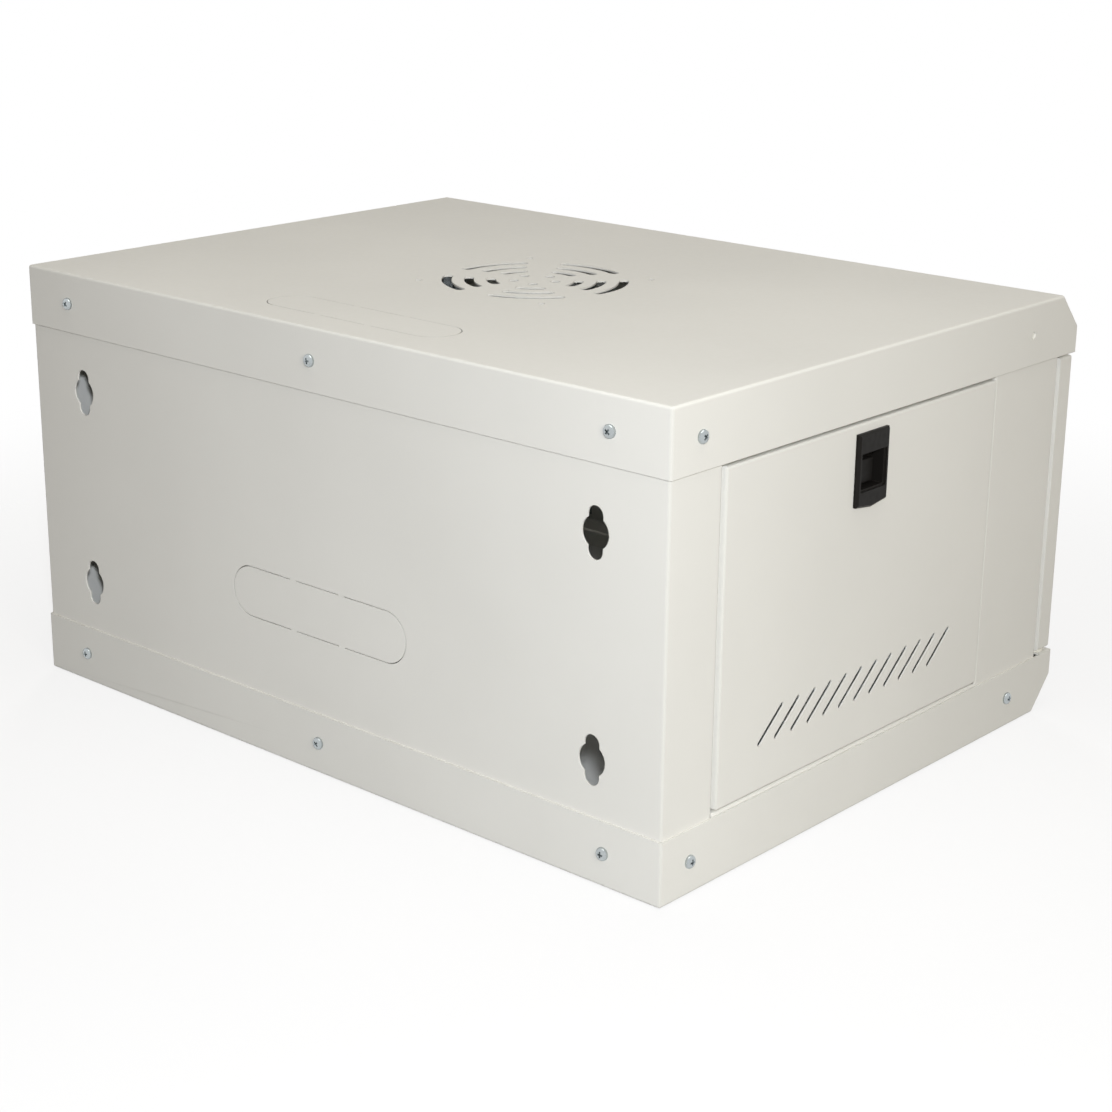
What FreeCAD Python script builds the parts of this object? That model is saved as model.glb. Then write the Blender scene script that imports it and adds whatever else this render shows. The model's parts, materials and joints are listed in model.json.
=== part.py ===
import FreeCAD, Part
import math
import os
from FreeCAD import Vector, Rotation, Placement

# Wall mount network cabinet, 4 units high, 19-inch, in millimetres.
# X is the width, Y the depth with the glazed front towards -Y and the wall towards +Y, Z is up.
# The origin is the middle of the cabinet's underside. "Left" is -X, for someone facing the front.

# ---- overall size ------------------------------------------------------------------------
WIDTH = 540.0
DEPTH = 410.0
HEIGHT = 280.0
BACK = DEPTH / 2
FRONT = -DEPTH / 2

# ---- sheet metal -------------------------------------------------------------------------
SHEET = 1.2
PANEL_SHEET = 1.0
INNER_BEND = 0.5
BEND = SHEET + INNER_BEND

# ---- how far a cutting shape runs past the faces that it opens ----------------------------
PAST = 1.0

# ---- top and bottom covers ---------------------------------------------------------------
FLANGE = 39.0
SLOPE_DEPTH = 20.0
SLOPE_HEIGHT = 22.0
COVER_LIP = 14.0

# ---- cover screws, M4 pan head -----------------------------------------------------------
SCREW_R = 1.95
SCREW_HOLE_R = 2.25
SCREW_HEAD_R = 4.0
SCREW_HEAD = 2.6
SCREW_REACH = 9.0
HEAD_SIDE = 0.5
HEAD_FLAT = 0.7
SCREW_INSET = 20.0
REAR_SCREW_INSET = 41.0
SIDE_SCREW_BACK = 25.0
SIDE_SCREW_FRONT = 55.0
NUT_HOLE_R = 2.0
NUT_FLATS = 7.0
NUT_DEPTH = 3.2

# ---- fan grille in the top cover, for a 120 mm fan ---------------------------------------
FAN_Y = 10.0
FAN_HOLE_SPACING = 105.0
FAN_HOLE_R = 2.25
GRILLE_SECTORS = 5
GRILLE_FIRST = -90
GRILLE_SLOT = 6.3
GRILLE_RINGS = ((56.7, 25.0), (42.4, 22.5), (28.2, 19.5))
GRILLE_HUB_RING = 14.0

# ---- cable knockouts ---------------------------------------------------------------------
KNOCKOUT_LENGTH = 152.0
KNOCKOUT_WIDTH = 33.0
KERF = 0.5
TAB = 5.0
TAB_OFFSET = 21.3
TOP_KNOCKOUT_INSET = 42.5
REAR_KNOCKOUT_Z = 104.0

# ---- keyholes for the wall screws, open at both ends -------------------------------------
KEYHOLE_SPACING_X = 438.0
KEYHOLE_SPACING_Z = 130.0
KEYHOLE_Z = 137.5
KEYHOLE_R = 9.5
KEYHOLE_SLOT_R = 5.4
KEYHOLE_REACH = 9.7

# ---- body: rear panel and the two side frames --------------------------------------------
BODY_END_GAP = 1.0
REAR_RETURN = 43.8
REAR_LIP = 20.8
SEAM = 0.3
SILL_HEIGHT = 40.8
POST_WIDTH = 74.0
POST_LIP = 20.8
POST_SETBACK = 20.0
POST_HEM = 15.0
LEDGE = 18.8
JOGGLE = 6.0
JOGGLE_TAB = 35.0
JOGGLE_TAB_HEIGHT = 26.0
RELIEF = 1.5
CAM_NOTCH = 62.0

# ---- removable side panels ---------------------------------------------------------------
PANEL_GAP_TOP = 2.2
PANEL_GAP_BOTTOM = 1.2
PANEL_GAP_FRONT = 0.4
PANEL_GAP_REAR = 2.9
PANEL_PROUD = 0.8
PANEL_RETURN = 9.0
PANEL_BEND = 1.3
VENT_COUNT = 12
VENT_PITCH = 15.6
VENT_RISE = 17.6
VENT_RUN = 20.4
VENT_WIDTH = 2.9
VENT_Z = 79.3
HOOK_WIDTH = 20.0
HOOK_DROP = 9.0
HOOK_SPACING = 180.0
HOOK_SLOT_OUT = 1.2
HOOK_SLOT_IN = 5.0
HOOK_SLOT_END = 1.5

# ---- side panel latch --------------------------------------------------------------------
LATCH_WIDTH = 30.4
LATCH_HEIGHT = 43.0
LATCH_POINT = 2.0
LATCH_TOP_GAP = 5.5
LATCH_PROUD = 3.0
LATCH_RIM = 2.2
LATCH_BEVEL = 1.3
LATCH_DEPTH = 10.2
RECESS_WIDTH = 22.6
RECESS_HEIGHT = 21.6
RECESS_DROP = 11.6
SLIDER_PLATE = 1.8
SLIDER_RUN = 0.2
SLIDER_BACK = 1.4
SLIDER_TRAVEL = 5.0
SLIDER_SIDE_WALL = 1.6
SLIDER_END_WALL = 1.5
GRIP_HEIGHT = 3.5
GRIP_ROUNDING = 0.8
GRIP_SIDE_GAP = 3.3
GRIP_LOW_GAP = 1.0
GRIP_HIGH_GAP = 1.2
NOSE_WIDTH = 12.0
NOSE_NOTCH_GAP = 1.0
NOSE_STANDOFF = 0.4
NOSE_CHAMFER = 1.1

# ---- 19-inch rails and their support bars ------------------------------------------------
UNIT = 44.45
UNITS = 4
HOLE_ROW_INSET = 37.45
RAIL_EDGE = 7.25
UNIT_HOLES = (6.35, 22.225, 38.1)
SQUARE_HOLE = 9.5
RAIL_SHEET = 1.5
RAIL_SETBACK = 55.0
RAIL_LEG = 28.0
RAIL_END = 3.1
RAIL_BOLT_IN = 14.0
BAR_SHEET = 1.5
BAR_HEIGHT = 25.0
BAR_FLANGE = 7.0
BAR_EAR = 12.0
BAR_INSET = 10.0
BAR_SLOT_R = 3.25
BAR_SLOT_LENGTH = 36.0
BAR_SLOTS = 5
BAR_END_RADIUS = 3.0
BOLT_R = 3.0
BOLT_HOLE_R = 3.25
BOLT_HEAD_R = 5.5
BOLT_HEAD = 3.6
BOLT_NUT_FLATS = 10.0
BOLT_NUT = 5.0
BOLT_BORE_R = 3.05
BOLT_END = 0.8

# ---- front door --------------------------------------------------------------------------
DOOR_GAP = 2.2
DOOR_SETBACK = 0.8
DOOR_SIDE_GAP = 1.7
DOOR_DEPTH = 14.7
DOOR_BACK_LIP = 8.0
DOOR_SIDE_BORDER = 48.3
DOOR_END_BORDER = 24.0
WINDOW_CORNER = 6.0
GLASS = 4.0
GLASS_LAP = 6.0
GASKET = 1.0
GASKET_WIDTH = 4.5
CLIP_SHEET = 1.2
CLIP_WIDTH = 16.0
CLIP_FOOT = 9.0
CLIP_REACH = 5.0
CLIP_SIDE_Z = 42.0
CLIP_END_X = 140.0
CLIP_GAP = 0.5
CLIP_BEND = 0.3
CLIP_HOLE_GAP = 1.0
STUD_R = 1.95

# ---- door hinge pins ---------------------------------------------------------------------
PIN_INSET = 10.0
PIN_SETBACK = 8.0
PIN_R = 3.0
PIN_BORE_R = 3.05
PIN_REACH = 5.5
PIN_COLLAR_R = 5.0
PIN_COLLAR = 2.0
BUSH_R = 5.0
BUSH_FLANGE_R = 7.0
BUSH_FLANGE = 1.9
BUSH_END = 0.6
PIN_CHAMFER = 0.6
PIN_BRACKET_DROP = 21.5
PIN_BRACKET_REACH = 13.0
PIN_BRACKET_HEIGHT = 14.0
PIN_LEVER = 15.0
PIN_LEVER_R = 2.0
PIN_LEVER_DROP = 10.0
PIN_LEVER_END = 0.5
SPRING_R = 4.2
SPRING_WIRE = 0.8
SPRING_LENGTH = 11.8
SPRING_TURNS = 4
SPRING_END = 0.05

# ---- door lock ---------------------------------------------------------------------------
LOCK_INSET = 29.3
LOCK_R = 7.5
LOCK_HOLE_R = 7.6
LOCK_FLANGE_R = 10.0
LOCK_FLANGE = 1.5
LOCK_REAR_GAP = 2.0
LOCK_CHAMFER = 0.8
BARREL_R = 5.5
BARREL_BORE_R = 5.55
BARREL_PROUD = 0.3
KEY_SLOT = 1.6
KEY_SLOT_REACH = 3.3
KEY_SLOT_DEPTH = 6.0
SPINDLE_R = 3.6
LOCK_NUT_FLATS = 19.0
LOCK_NUT = 3.5
CAM = 2.0
CAM_WIDTH = 10.0
CAM_LENGTH = 20.0
CAM_GAP = 1.0
CAM_NUT_FLATS = 9.0
CAM_NUT = 3.0

# ---- earth stud --------------------------------------------------------------------------
EARTH_X = 150.0
EARTH_Y = 120.0
EARTH_LENGTH = 16.0
WASHER_R = 6.5
WASHER = 1.6

# ---- planes that several parts share -----------------------------------------------------
TOP_FLANGE_Z = HEIGHT - FLANGE
BODY_X = WIDTH / 2 - SHEET
BODY_BACK = BACK - SHEET
BODY_LOW = SHEET + BODY_END_GAP
BODY_HIGH = HEIGHT - BODY_LOW
POST_FRONT = FRONT + POST_SETBACK
POST_BACK = POST_FRONT + POST_WIDTH
RETURN_FRONT = BODY_BACK - REAR_RETURN
LEDGE_TOP = SILL_HEIGHT
LEDGE_UPPER = TOP_FLANGE_Z
SCREW_ZS = (SCREW_INSET, HEIGHT - SCREW_INSET)
PANEL_X = BODY_X + PANEL_PROUD
PANEL_Y0 = POST_BACK + PANEL_GAP_FRONT
PANEL_Y1 = RETURN_FRONT - PANEL_GAP_REAR
PANEL_YC = (PANEL_Y0 + PANEL_Y1) / 2
PANEL_Z0 = LEDGE_TOP + PANEL_GAP_BOTTOM
PANEL_Z1 = LEDGE_UPPER - PANEL_GAP_TOP
LATCH_Z1 = PANEL_Z1 - LATCH_TOP_GAP
LATCH_Z0 = LATCH_Z1 - LATCH_HEIGHT
RECESS_Z1 = LATCH_Z1 - RECESS_DROP
RECESS_Z0 = RECESS_Z1 - RECESS_HEIGHT
BAR_X = BODY_X - POST_LIP - BAR_SHEET
BAR_FRONT = POST_FRONT + BEND
HEM_SCREW_Y = (BAR_FRONT + POST_FRONT + POST_HEM) / 2
EAR_SCREW_X = BAR_X + (BAR_SHEET + BAR_EAR) / 2
RAIL_Y = FRONT + RAIL_SETBACK
HOLE_ROW_X = WIDTH / 2 - HOLE_ROW_INSET
RAIL_BOLT_Y = RAIL_Y + RAIL_BOLT_IN
MID_Z = HEIGHT / 2
RAIL_REACH = UNITS * UNIT / 2 + RAIL_END
BAR_ZS = (PANEL_Z0 + BAR_INSET + BAR_HEIGHT / 2, PANEL_Z1 - BAR_INSET - BAR_HEIGHT / 2)
DOOR_X = WIDTH / 2 - DOOR_SIDE_GAP
DOOR_Z0 = FLANGE + DOOR_GAP
DOOR_Z1 = TOP_FLANGE_Z - DOOR_GAP
DOOR_FRONT = FRONT + DOOR_SETBACK
DOOR_BACK = DOOR_FRONT + DOOR_DEPTH
DOOR_INNER = DOOR_FRONT + SHEET
WINDOW_X = DOOR_X - DOOR_SIDE_BORDER
LOCK_X = DOOR_X - LOCK_INSET
WINDOW_Z0 = DOOR_Z0 + DOOR_END_BORDER
WINDOW_Z1 = DOOR_Z1 - DOOR_END_BORDER
GLASS_FRONT = DOOR_INNER + GASKET
GLASS_BACK = GLASS_FRONT + GLASS
PIN_X = -(WIDTH / 2 - PIN_INSET)
PIN_Y = FRONT + PIN_SETBACK
BRACKET_TOP = DOOR_Z1 - PIN_BRACKET_DROP
COLLAR_Z = BRACKET_TOP + SPRING_LENGTH

UP = Vector(0, 0, 1)
BACKWARD = Vector(0, 1, 0)
RIGHT = Vector(1, 0, 0)


# ---- shape helpers -----------------------------------------------------------------------
def box(x0, x1, y0, y1, z0, z1):
    low = Vector(min(x0, x1), min(y0, y1), min(z0, z1))
    return Part.makeBox(abs(x1 - x0), abs(y1 - y0), abs(z1 - z0), low)


def rod(start, axis, radius, length):
    return Part.makeCylinder(radius, length, start, axis)


def prism(points, direction):
    return Part.Face(Part.makePolygon(points + points[:1])).extrude(direction)


def offset_path(points, distance):
    """Shift an open path of straight runs to its left by a distance, in its own plane."""
    shifted = []
    last = len(points) - 1
    for i, (x, y) in enumerate(points):
        normals = []
        for a, b in ((i - 1, i), (i, i + 1)):
            if a < 0 or b > last:
                continue
            dx = points[b][0] - points[a][0]
            dy = points[b][1] - points[a][1]
            run = math.hypot(dx, dy)
            normals.append((-dy / run, dx / run))
        nx = sum(n[0] for n in normals) / len(normals)
        ny = sum(n[1] for n in normals) / len(normals)
        square = nx * nx + ny * ny
        shifted.append((x + distance * nx / square, y + distance * ny / square))
    return shifted


def rounded_face(corners, place):
    """Face inside closed corners (u, v, radius); place turns (u, v) into a point in space."""
    count = len(corners)
    starts, ends, middles = [], [], []
    for i, (u, v, radius) in enumerate(corners):
        here = Vector(u, v, 0)
        before = Vector(*corners[i - 1][:2], 0) - here
        after = Vector(*corners[(i + 1) % count][:2], 0) - here
        before.normalize()
        after.normalize()
        if radius <= 0:
            starts.append(here)
            ends.append(here)
            middles.append(None)
            continue
        half = before.getAngle(after) / 2
        setback = radius / math.tan(half)
        inward = before + after
        inward.normalize()
        starts.append(here + before * setback)
        ends.append(here + after * setback)
        middles.append(here + inward * (radius / math.sin(half) - radius))
    edges = []
    for i in range(count):
        if middles[i] is not None:
            arc = [place(p.x, p.y) for p in (starts[i], middles[i], ends[i])]
            edges.append(Part.Arc(*arc).toShape())
        line_end = starts[(i + 1) % count]
        if (ends[i] - line_end).Length > 1e-6:
            edges.append(Part.makeLine(place(ends[i].x, ends[i].y), place(line_end.x, line_end.y)))
    return Part.Face(Part.Wire(edges))


def bent_sheet(path, thickness, bend, place, direction):
    """Sheet folded along a path of its outer face, with its thickness to the left of the path."""
    inner = offset_path(path, thickness)
    corners = []
    for side, points in ((1, path), (-1, inner)):
        ordered = list(enumerate(points))[::side]
        for i, (u, v) in ordered:
            if i in (0, len(points) - 1):
                corners.append((u, v, 0))
                continue
            ax, ay = path[i][0] - path[i - 1][0], path[i][1] - path[i - 1][1]
            bx, by = path[i + 1][0] - path[i][0], path[i + 1][1] - path[i][1]
            turns_left = ax * by - ay * bx > 0
            outside = turns_left == (side > 0)
            corners.append((u, v, bend + thickness if outside else bend))
    return rounded_face(corners, place).extrude(direction)


def in_plan(z):
    return lambda u, v: Vector(u, v, z)


def in_side(x):
    return lambda u, v: Vector(x, u, v)


def in_front(y):
    return lambda u, v: Vector(u, y, v)


def rounded_slab(u0, u1, v0, v1, radius, place, direction):
    corners = [(u0, v0, radius), (u1, v0, radius), (u1, v1, radius), (u0, v1, radius)]
    return rounded_face(corners, place).extrude(direction)


def obround(length, width, centre, place, direction):
    """Slab with round ends, long in the first direction of its plane."""
    u, v = centre
    radius = width / 2
    straight = length / 2 - radius
    ends = [(u - straight, v - radius), (u + straight, v - radius)]
    tops = [(u + straight, v + radius), (u - straight, v + radius)]
    edges = [
        Part.makeLine(place(*ends[0]), place(*ends[1])),
        Part.Arc(place(*ends[1]), place(u + length / 2, v), place(*tops[0])).toShape(),
        Part.makeLine(place(*tops[0]), place(*tops[1])),
        Part.Arc(place(*tops[1]), place(u - length / 2, v), place(*ends[0])).toShape(),
    ]
    return Part.Face(Part.Wire(edges)).extrude(direction)


def hexagon(centre, axis, flats, length):
    """Six-sided bar along an axis, from centre."""
    turn = Rotation(UP, axis)
    corner = flats / math.sqrt(3)
    points = []
    for i in range(6):
        angle = math.radians(60 * i)
        flat = Vector(corner * math.cos(angle), corner * math.sin(angle), 0)
        points.append(centre + turn.multVec(flat))
    return prism(points, axis * length)


def nut(seat, axis, flats, length, bore_r):
    return hexagon(seat, axis, flats, length).cut(rod(seat, axis, bore_r, length))


def pan_screw(seat, inward, head_r, head, shank_r, reach):
    """Pan head screw whose head sits on the seat; the shank goes the inward way."""
    profile = [
        Vector(0, 0, head),
        Vector(head_r * HEAD_FLAT, 0, head),
        Vector(head_r, 0, head * HEAD_SIDE),
        Vector(head_r, 0, 0),
        Vector(shank_r, 0, 0),
        Vector(shank_r, 0, -reach),
        Vector(0, 0, -reach),
    ]
    body = Part.Face(Part.makePolygon(profile + profile[:1])).revolve(Vector(0, 0, 0), UP, 360)
    body.Placement = Placement(seat, Rotation(UP, inward * -1))
    return body


def mirrored(shape):
    """The same piece on the other side of the cabinet."""
    return shape.mirror(Vector(0, 0, 0), RIGHT)


def group(shapes):
    return Part.makeCompound(shapes)


# ---- covers ------------------------------------------------------------------------------
def cover_screw_seats():
    """Where each cover screw's head sits, and the way its shank goes, by side of the cabinet."""
    seats = {"rear": [], "left": [], "right": []}
    for z in SCREW_ZS:
        for x in (REAR_SCREW_INSET - WIDTH / 2, 0, WIDTH / 2 - REAR_SCREW_INSET):
            seats["rear"].append((Vector(x, BACK, z), BACKWARD * -1))
        for y in (BACK - SIDE_SCREW_BACK, FRONT + SIDE_SCREW_FRONT):
            seats["left"].append((Vector(-WIDTH / 2, y, z), RIGHT))
            seats["right"].append((Vector(WIDTH / 2, y, z), RIGHT * -1))
    return seats


def used_screw_seats():
    """The cover screws' seats without the left side's upper front one, which stays empty."""
    seats = cover_screw_seats()
    unused = Vector(-WIDTH / 2, FRONT + SIDE_SCREW_FRONT, SCREW_ZS[1])
    seats["left"] = [s for s in seats["left"] if (s[0] - unused).Length > 1]
    return seats


def screw_holes(seats_by_side):
    reach = SHEET * 4
    holes = []
    for seats in seats_by_side.values():
        for seat, inward in seats:
            holes.append(rod(seat - inward * PAST, inward, SCREW_HOLE_R, reach + PAST))
    return group(holes)


def knockout_kerf(centre, place, direction):
    """Narrow cut round a cable knockout, broken by the tabs that still hold it."""
    inner_length = KNOCKOUT_LENGTH - 2 * KERF
    inner_width = KNOCKOUT_WIDTH - 2 * KERF
    outer = obround(KNOCKOUT_LENGTH, KNOCKOUT_WIDTH, centre, place, direction)
    kerf = outer.cut(obround(inner_length, inner_width, centre, place, direction))
    u, v = centre
    half_width = KNOCKOUT_WIDTH / 2
    for side in (-1, 1):
        for end in (-1, 1):
            tab_u = u + end * TAB_OFFSET
            low, high = sorted((v + side * (half_width - 2 * KERF), v + side * (half_width + KERF)))
            tab = rounded_slab(tab_u - TAB / 2, tab_u + TAB / 2, low, high, 0, place, direction)
            kerf = kerf.cut(tab)
    return kerf


def arc_slot(radius, half_angle, middle_angle, z, height):
    """Round-ended slot along a circle about the fan's centre."""
    def at(r, degrees):
        angle = math.radians(degrees)
        return Vector(r * math.cos(angle), FAN_Y + r * math.sin(angle), z)

    first, last = middle_angle - half_angle, middle_angle + half_angle
    outer_r, inner_r = radius + GRILLE_SLOT / 2, radius - GRILLE_SLOT / 2
    end_lean = math.degrees(GRILLE_SLOT / 2 / radius)
    edges = [
        Part.Arc(at(outer_r, first), at(outer_r, middle_angle), at(outer_r, last)).toShape(),
        Part.Arc(at(outer_r, last), at(radius, last + end_lean), at(inner_r, last)).toShape(),
        Part.Arc(at(inner_r, last), at(inner_r, middle_angle), at(inner_r, first)).toShape(),
        Part.Arc(at(inner_r, first), at(radius, first - end_lean), at(outer_r, first)).toShape(),
    ]
    return Part.Face(Part.Wire(edges)).extrude(UP * height)


def fan_grille():
    """Five fields of concentric slots, one of them towards the front, and the fan's four screw holes."""
    z = HEIGHT - SHEET - PAST
    height = SHEET + 2 * PAST
    cuts = []
    for sector in range(GRILLE_SECTORS):
        middle = GRILLE_FIRST + sector * 360 / GRILLE_SECTORS
        for radius, half_angle in GRILLE_RINGS:
            lean = math.degrees(GRILLE_SLOT / 2 / radius)
            cuts.append(arc_slot(radius, half_angle - lean, middle, z, height))
        angle = math.radians(middle)
        hub = Vector(GRILLE_HUB_RING * math.cos(angle), FAN_Y + GRILLE_HUB_RING * math.sin(angle), z)
        cuts.append(rod(hub, UP, GRILLE_SLOT / 2, height))
    half = FAN_HOLE_SPACING / 2
    for x in (-half, half):
        for y in (FAN_Y - half, FAN_Y + half):
            cuts.append(rod(Vector(x, y, z), UP, FAN_HOLE_R, height))
    return group(cuts)


def cover_shell():
    """Pan with the open side down: flat top, three flanges, and a front that slopes before it drops."""
    low = TOP_FLANGE_Z
    outline = [
        (BACK, low),
        (BACK, HEIGHT),
        (FRONT + SLOPE_DEPTH, HEIGHT),
        (FRONT, HEIGHT - SLOPE_HEIGHT),
        (FRONT, low),
    ]
    half = WIDTH / 2
    outer = prism([Vector(-half, y, z) for y, z in outline], RIGHT * WIDTH)
    outer_edges = [e for e in outer.Edges if not all(abs(v.Z - low) < 1e-6 for v in e.Vertexes)]
    outer = outer.makeFillet(BEND, outer_edges)
    inner = offset_path(outline, SHEET)
    below = low - PAST
    hollow = [(inner[0][0], below)] + inner[1:4]
    hollow += [(inner[4][0], low + SHEET), (FRONT + COVER_LIP, low + SHEET), (FRONT + COVER_LIP, below)]
    inner_half = half - SHEET
    cavity = prism([Vector(-inner_half, y, z) for y, z in hollow], RIGHT * inner_half * 2)
    rounded = []
    for e in cavity.Edges:
        ends = [v.Point for v in e.Vertexes]
        high = all(p.z > low + SHEET + 1e-6 for p in ends)
        rear_corner = all(abs(p.y - inner[0][0]) < 1e-6 for p in ends)
        if high or rear_corner and abs(ends[0].x - ends[1].x) < 1e-6:
            rounded.append(e)
    cavity = cavity.makeFillet(INNER_BEND, rounded)
    shell = outer.cut(cavity)
    pin_bore = rod(Vector(PIN_X, PIN_Y, low - PAST), UP, BUSH_R, SHEET + 2 * PAST)
    place = in_plan(HEIGHT - SHEET - PAST)
    knockout = knockout_kerf((0, BACK - TOP_KNOCKOUT_INSET), place, UP * (SHEET + 2 * PAST))
    return shell.cut(pin_bore).cut(knockout)


def top_cover():
    return cover_shell().cut(fan_grille()).cut(screw_holes(cover_screw_seats()))


def bottom_cover():
    flipped = cover_shell().mirror(Vector(0, 0, MID_Z), UP)
    return flipped.cut(screw_holes(cover_screw_seats()))


# ---- rear panel --------------------------------------------------------------------------
def keyhole_centres():
    half_x, half_z = KEYHOLE_SPACING_X / 2, KEYHOLE_SPACING_Z / 2
    return [(x, z) for x in (-half_x, half_x) for z in (KEYHOLE_Z - half_z, KEYHOLE_Z + half_z)]


def keyhole(x, z):
    """Round hole with a narrower round-ended slot above and below it."""
    start = BODY_BACK - SHEET - PAST
    through = BACKWARD * (SHEET + 2 * PAST)
    hole = rod(Vector(x, start, z), BACKWARD, KEYHOLE_R, SHEET + 2 * PAST)
    x0, x1 = x - KEYHOLE_SLOT_R, x + KEYHOLE_SLOT_R
    slot = box(x0, x1, start, start + through.y, z - KEYHOLE_REACH, z + KEYHOLE_REACH)
    hole = hole.fuse(slot)
    for end in (-KEYHOLE_REACH, KEYHOLE_REACH):
        hole = hole.fuse(rod(Vector(x, start, z + end), BACKWARD, KEYHOLE_SLOT_R, SHEET + 2 * PAST))
    return hole


def bar_screw_holes():
    """Holes for the support bars' screws: through the hems in front and through the lips at the rear."""
    reach = 4 * SHEET
    holes = []
    for z in BAR_ZS:
        for side in (-1, 1):
            hem = Vector(side * (BAR_X - reach), HEM_SCREW_Y, z)
            lip = Vector(side * EAR_SCREW_X, RETURN_FRONT - reach, z)
            holes.append(rod(hem, RIGHT * side, SCREW_HOLE_R, 2 * reach))
            holes.append(rod(lip, BACKWARD, SCREW_HOLE_R, 2 * reach))
    return group(holes)


def rear_panel():
    """Back sheet folded forward round both rear corners; its lips seat the side panels."""
    lip_x = BODY_X - REAR_LIP
    path = [
        (-lip_x, RETURN_FRONT),
        (-BODY_X, RETURN_FRONT),
        (-BODY_X, BODY_BACK),
        (BODY_X, BODY_BACK),
        (BODY_X, RETURN_FRONT),
        (lip_x, RETURN_FRONT),
    ]
    path.reverse()
    height = BODY_HIGH - BODY_LOW
    panel = bent_sheet(path, SHEET, INNER_BEND, in_plan(BODY_LOW), UP * height)
    for side in (-1, 1):
        for z0, z1 in ((BODY_LOW - PAST, LEDGE_TOP + RELIEF), (LEDGE_UPPER - RELIEF, BODY_HIGH + PAST)):
            x0, x1 = side * (lip_x - PAST), side * (BODY_X - SHEET)
            panel = panel.cut(box(x0, x1, RETURN_FRONT - PAST, RETURN_FRONT + BEND + PAST, z0, z1))
    for x, z in keyhole_centres():
        panel = panel.cut(keyhole(x, z))
    through = BACKWARD * (SHEET + 2 * PAST)
    panel = panel.cut(knockout_kerf((0, REAR_KNOCKOUT_Z), in_front(BODY_BACK - SHEET - PAST), through))
    return panel.cut(screw_holes(used_screw_seats())).cut(bar_screw_holes())


# ---- side frames -------------------------------------------------------------------------
def post_section():
    """Front post: rear lip, outer side, front flange and hem, as one folded strip."""
    lip_x = BODY_X - POST_LIP
    return [
        (-lip_x, POST_BACK),
        (-BODY_X, POST_BACK),
        (-BODY_X, POST_FRONT),
        (-lip_x, POST_FRONT),
        (-lip_x, POST_FRONT + POST_HEM),
    ]


def hook_slots():
    """Slots in the lower ledge that take the side panel's hooks."""
    hook_x = PANEL_X - PANEL_RETURN
    slots = []
    for end in (-1, 1):
        y = PANEL_YC + end * HOOK_SPACING / 2
        reach = HOOK_WIDTH / 2 + HOOK_SLOT_END
        x0, x1 = -(hook_x + HOOK_SLOT_OUT), -(hook_x - PANEL_SHEET - HOOK_SLOT_IN)
        slots.append(box(x0, x1, y - reach, y + reach, LEDGE_TOP - 3 * SHEET, LEDGE_TOP + PAST))
    return group(slots)


def nose_box(gap, z0, z1):
    """Column that the latch nose runs in, widened by a gap."""
    x_back = PANEL_X - LATCH_DEPTH + SLIDER_BACK
    x_front = x_back + SLIDER_PLATE + SLIDER_RUN
    half = NOSE_WIDTH / 2
    return box(-(x_front + gap), -(x_back - gap), PANEL_YC - half - gap, PANEL_YC + half + gap, z0, z1)


def side_frame():
    """Left side frame before the cover screws' holes: front post with a sill above and below."""
    height = BODY_HIGH - BODY_LOW
    post = bent_sheet(post_section(), SHEET, INNER_BEND, in_plan(BODY_LOW), UP * height)
    lip_x = BODY_X - POST_LIP
    for z0, z1 in ((BODY_LOW - PAST, LEDGE_TOP + RELIEF), (LEDGE_UPPER - RELIEF, BODY_HIGH + PAST)):
        y0, y1 = POST_BACK - BEND - PAST, POST_BACK + PAST
        post = post.cut(box(-lip_x + PAST, -BODY_X + SHEET, y0, y1, z0, z1))
    notch_low = MID_Z - CAM_NOTCH / 2
    y0, y1 = POST_FRONT + BEND, POST_FRONT + POST_HEM + PAST
    notch = box(-lip_x + PAST, -lip_x - SHEET - PAST, y0, y1, notch_low, notch_low + CAM_NOTCH)
    post = post.cut(notch)
    sill_end = RETURN_FRONT - SEAM
    sill_start = POST_BACK - 2 * BEND
    length = sill_end - sill_start
    ledge_x = BODY_X - LEDGE
    along = BACKWARD * length
    lower_path = [(-BODY_X, BODY_LOW), (-BODY_X, LEDGE_TOP), (-ledge_x, LEDGE_TOP)]
    upper_path = [(-ledge_x, LEDGE_UPPER), (-BODY_X, LEDGE_UPPER), (-BODY_X, BODY_HIGH)]
    frame = post
    for path in (lower_path, upper_path):
        path.reverse()
        frame = frame.fuse(bent_sheet(path, SHEET, INNER_BEND, in_front(sill_start), along))
    ledge_relief = POST_BACK + RELIEF
    for z0, z1 in ((LEDGE_TOP - BEND, LEDGE_TOP + PAST), (LEDGE_UPPER - PAST, LEDGE_UPPER + BEND)):
        frame = frame.cut(box(-lip_x + PAST, -BODY_X + SHEET, sill_start - PAST, ledge_relief, z0, z1))
        frame = frame.cut(box(-lip_x + PAST, -BODY_X + BEND, sill_end - RELIEF, sill_end + PAST, z0, z1))
    for z in SCREW_ZS:
        frame = joggle_sill(frame, z, sill_end)
    nose_slot = nose_box(NOSE_NOTCH_GAP, LEDGE_UPPER - PAST, LEDGE_UPPER + 2 * SHEET)
    frame = frame.cut(hook_slots()).cut(nose_slot)
    return frame.cut(bar_screw_holes()).removeSplitter()


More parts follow.
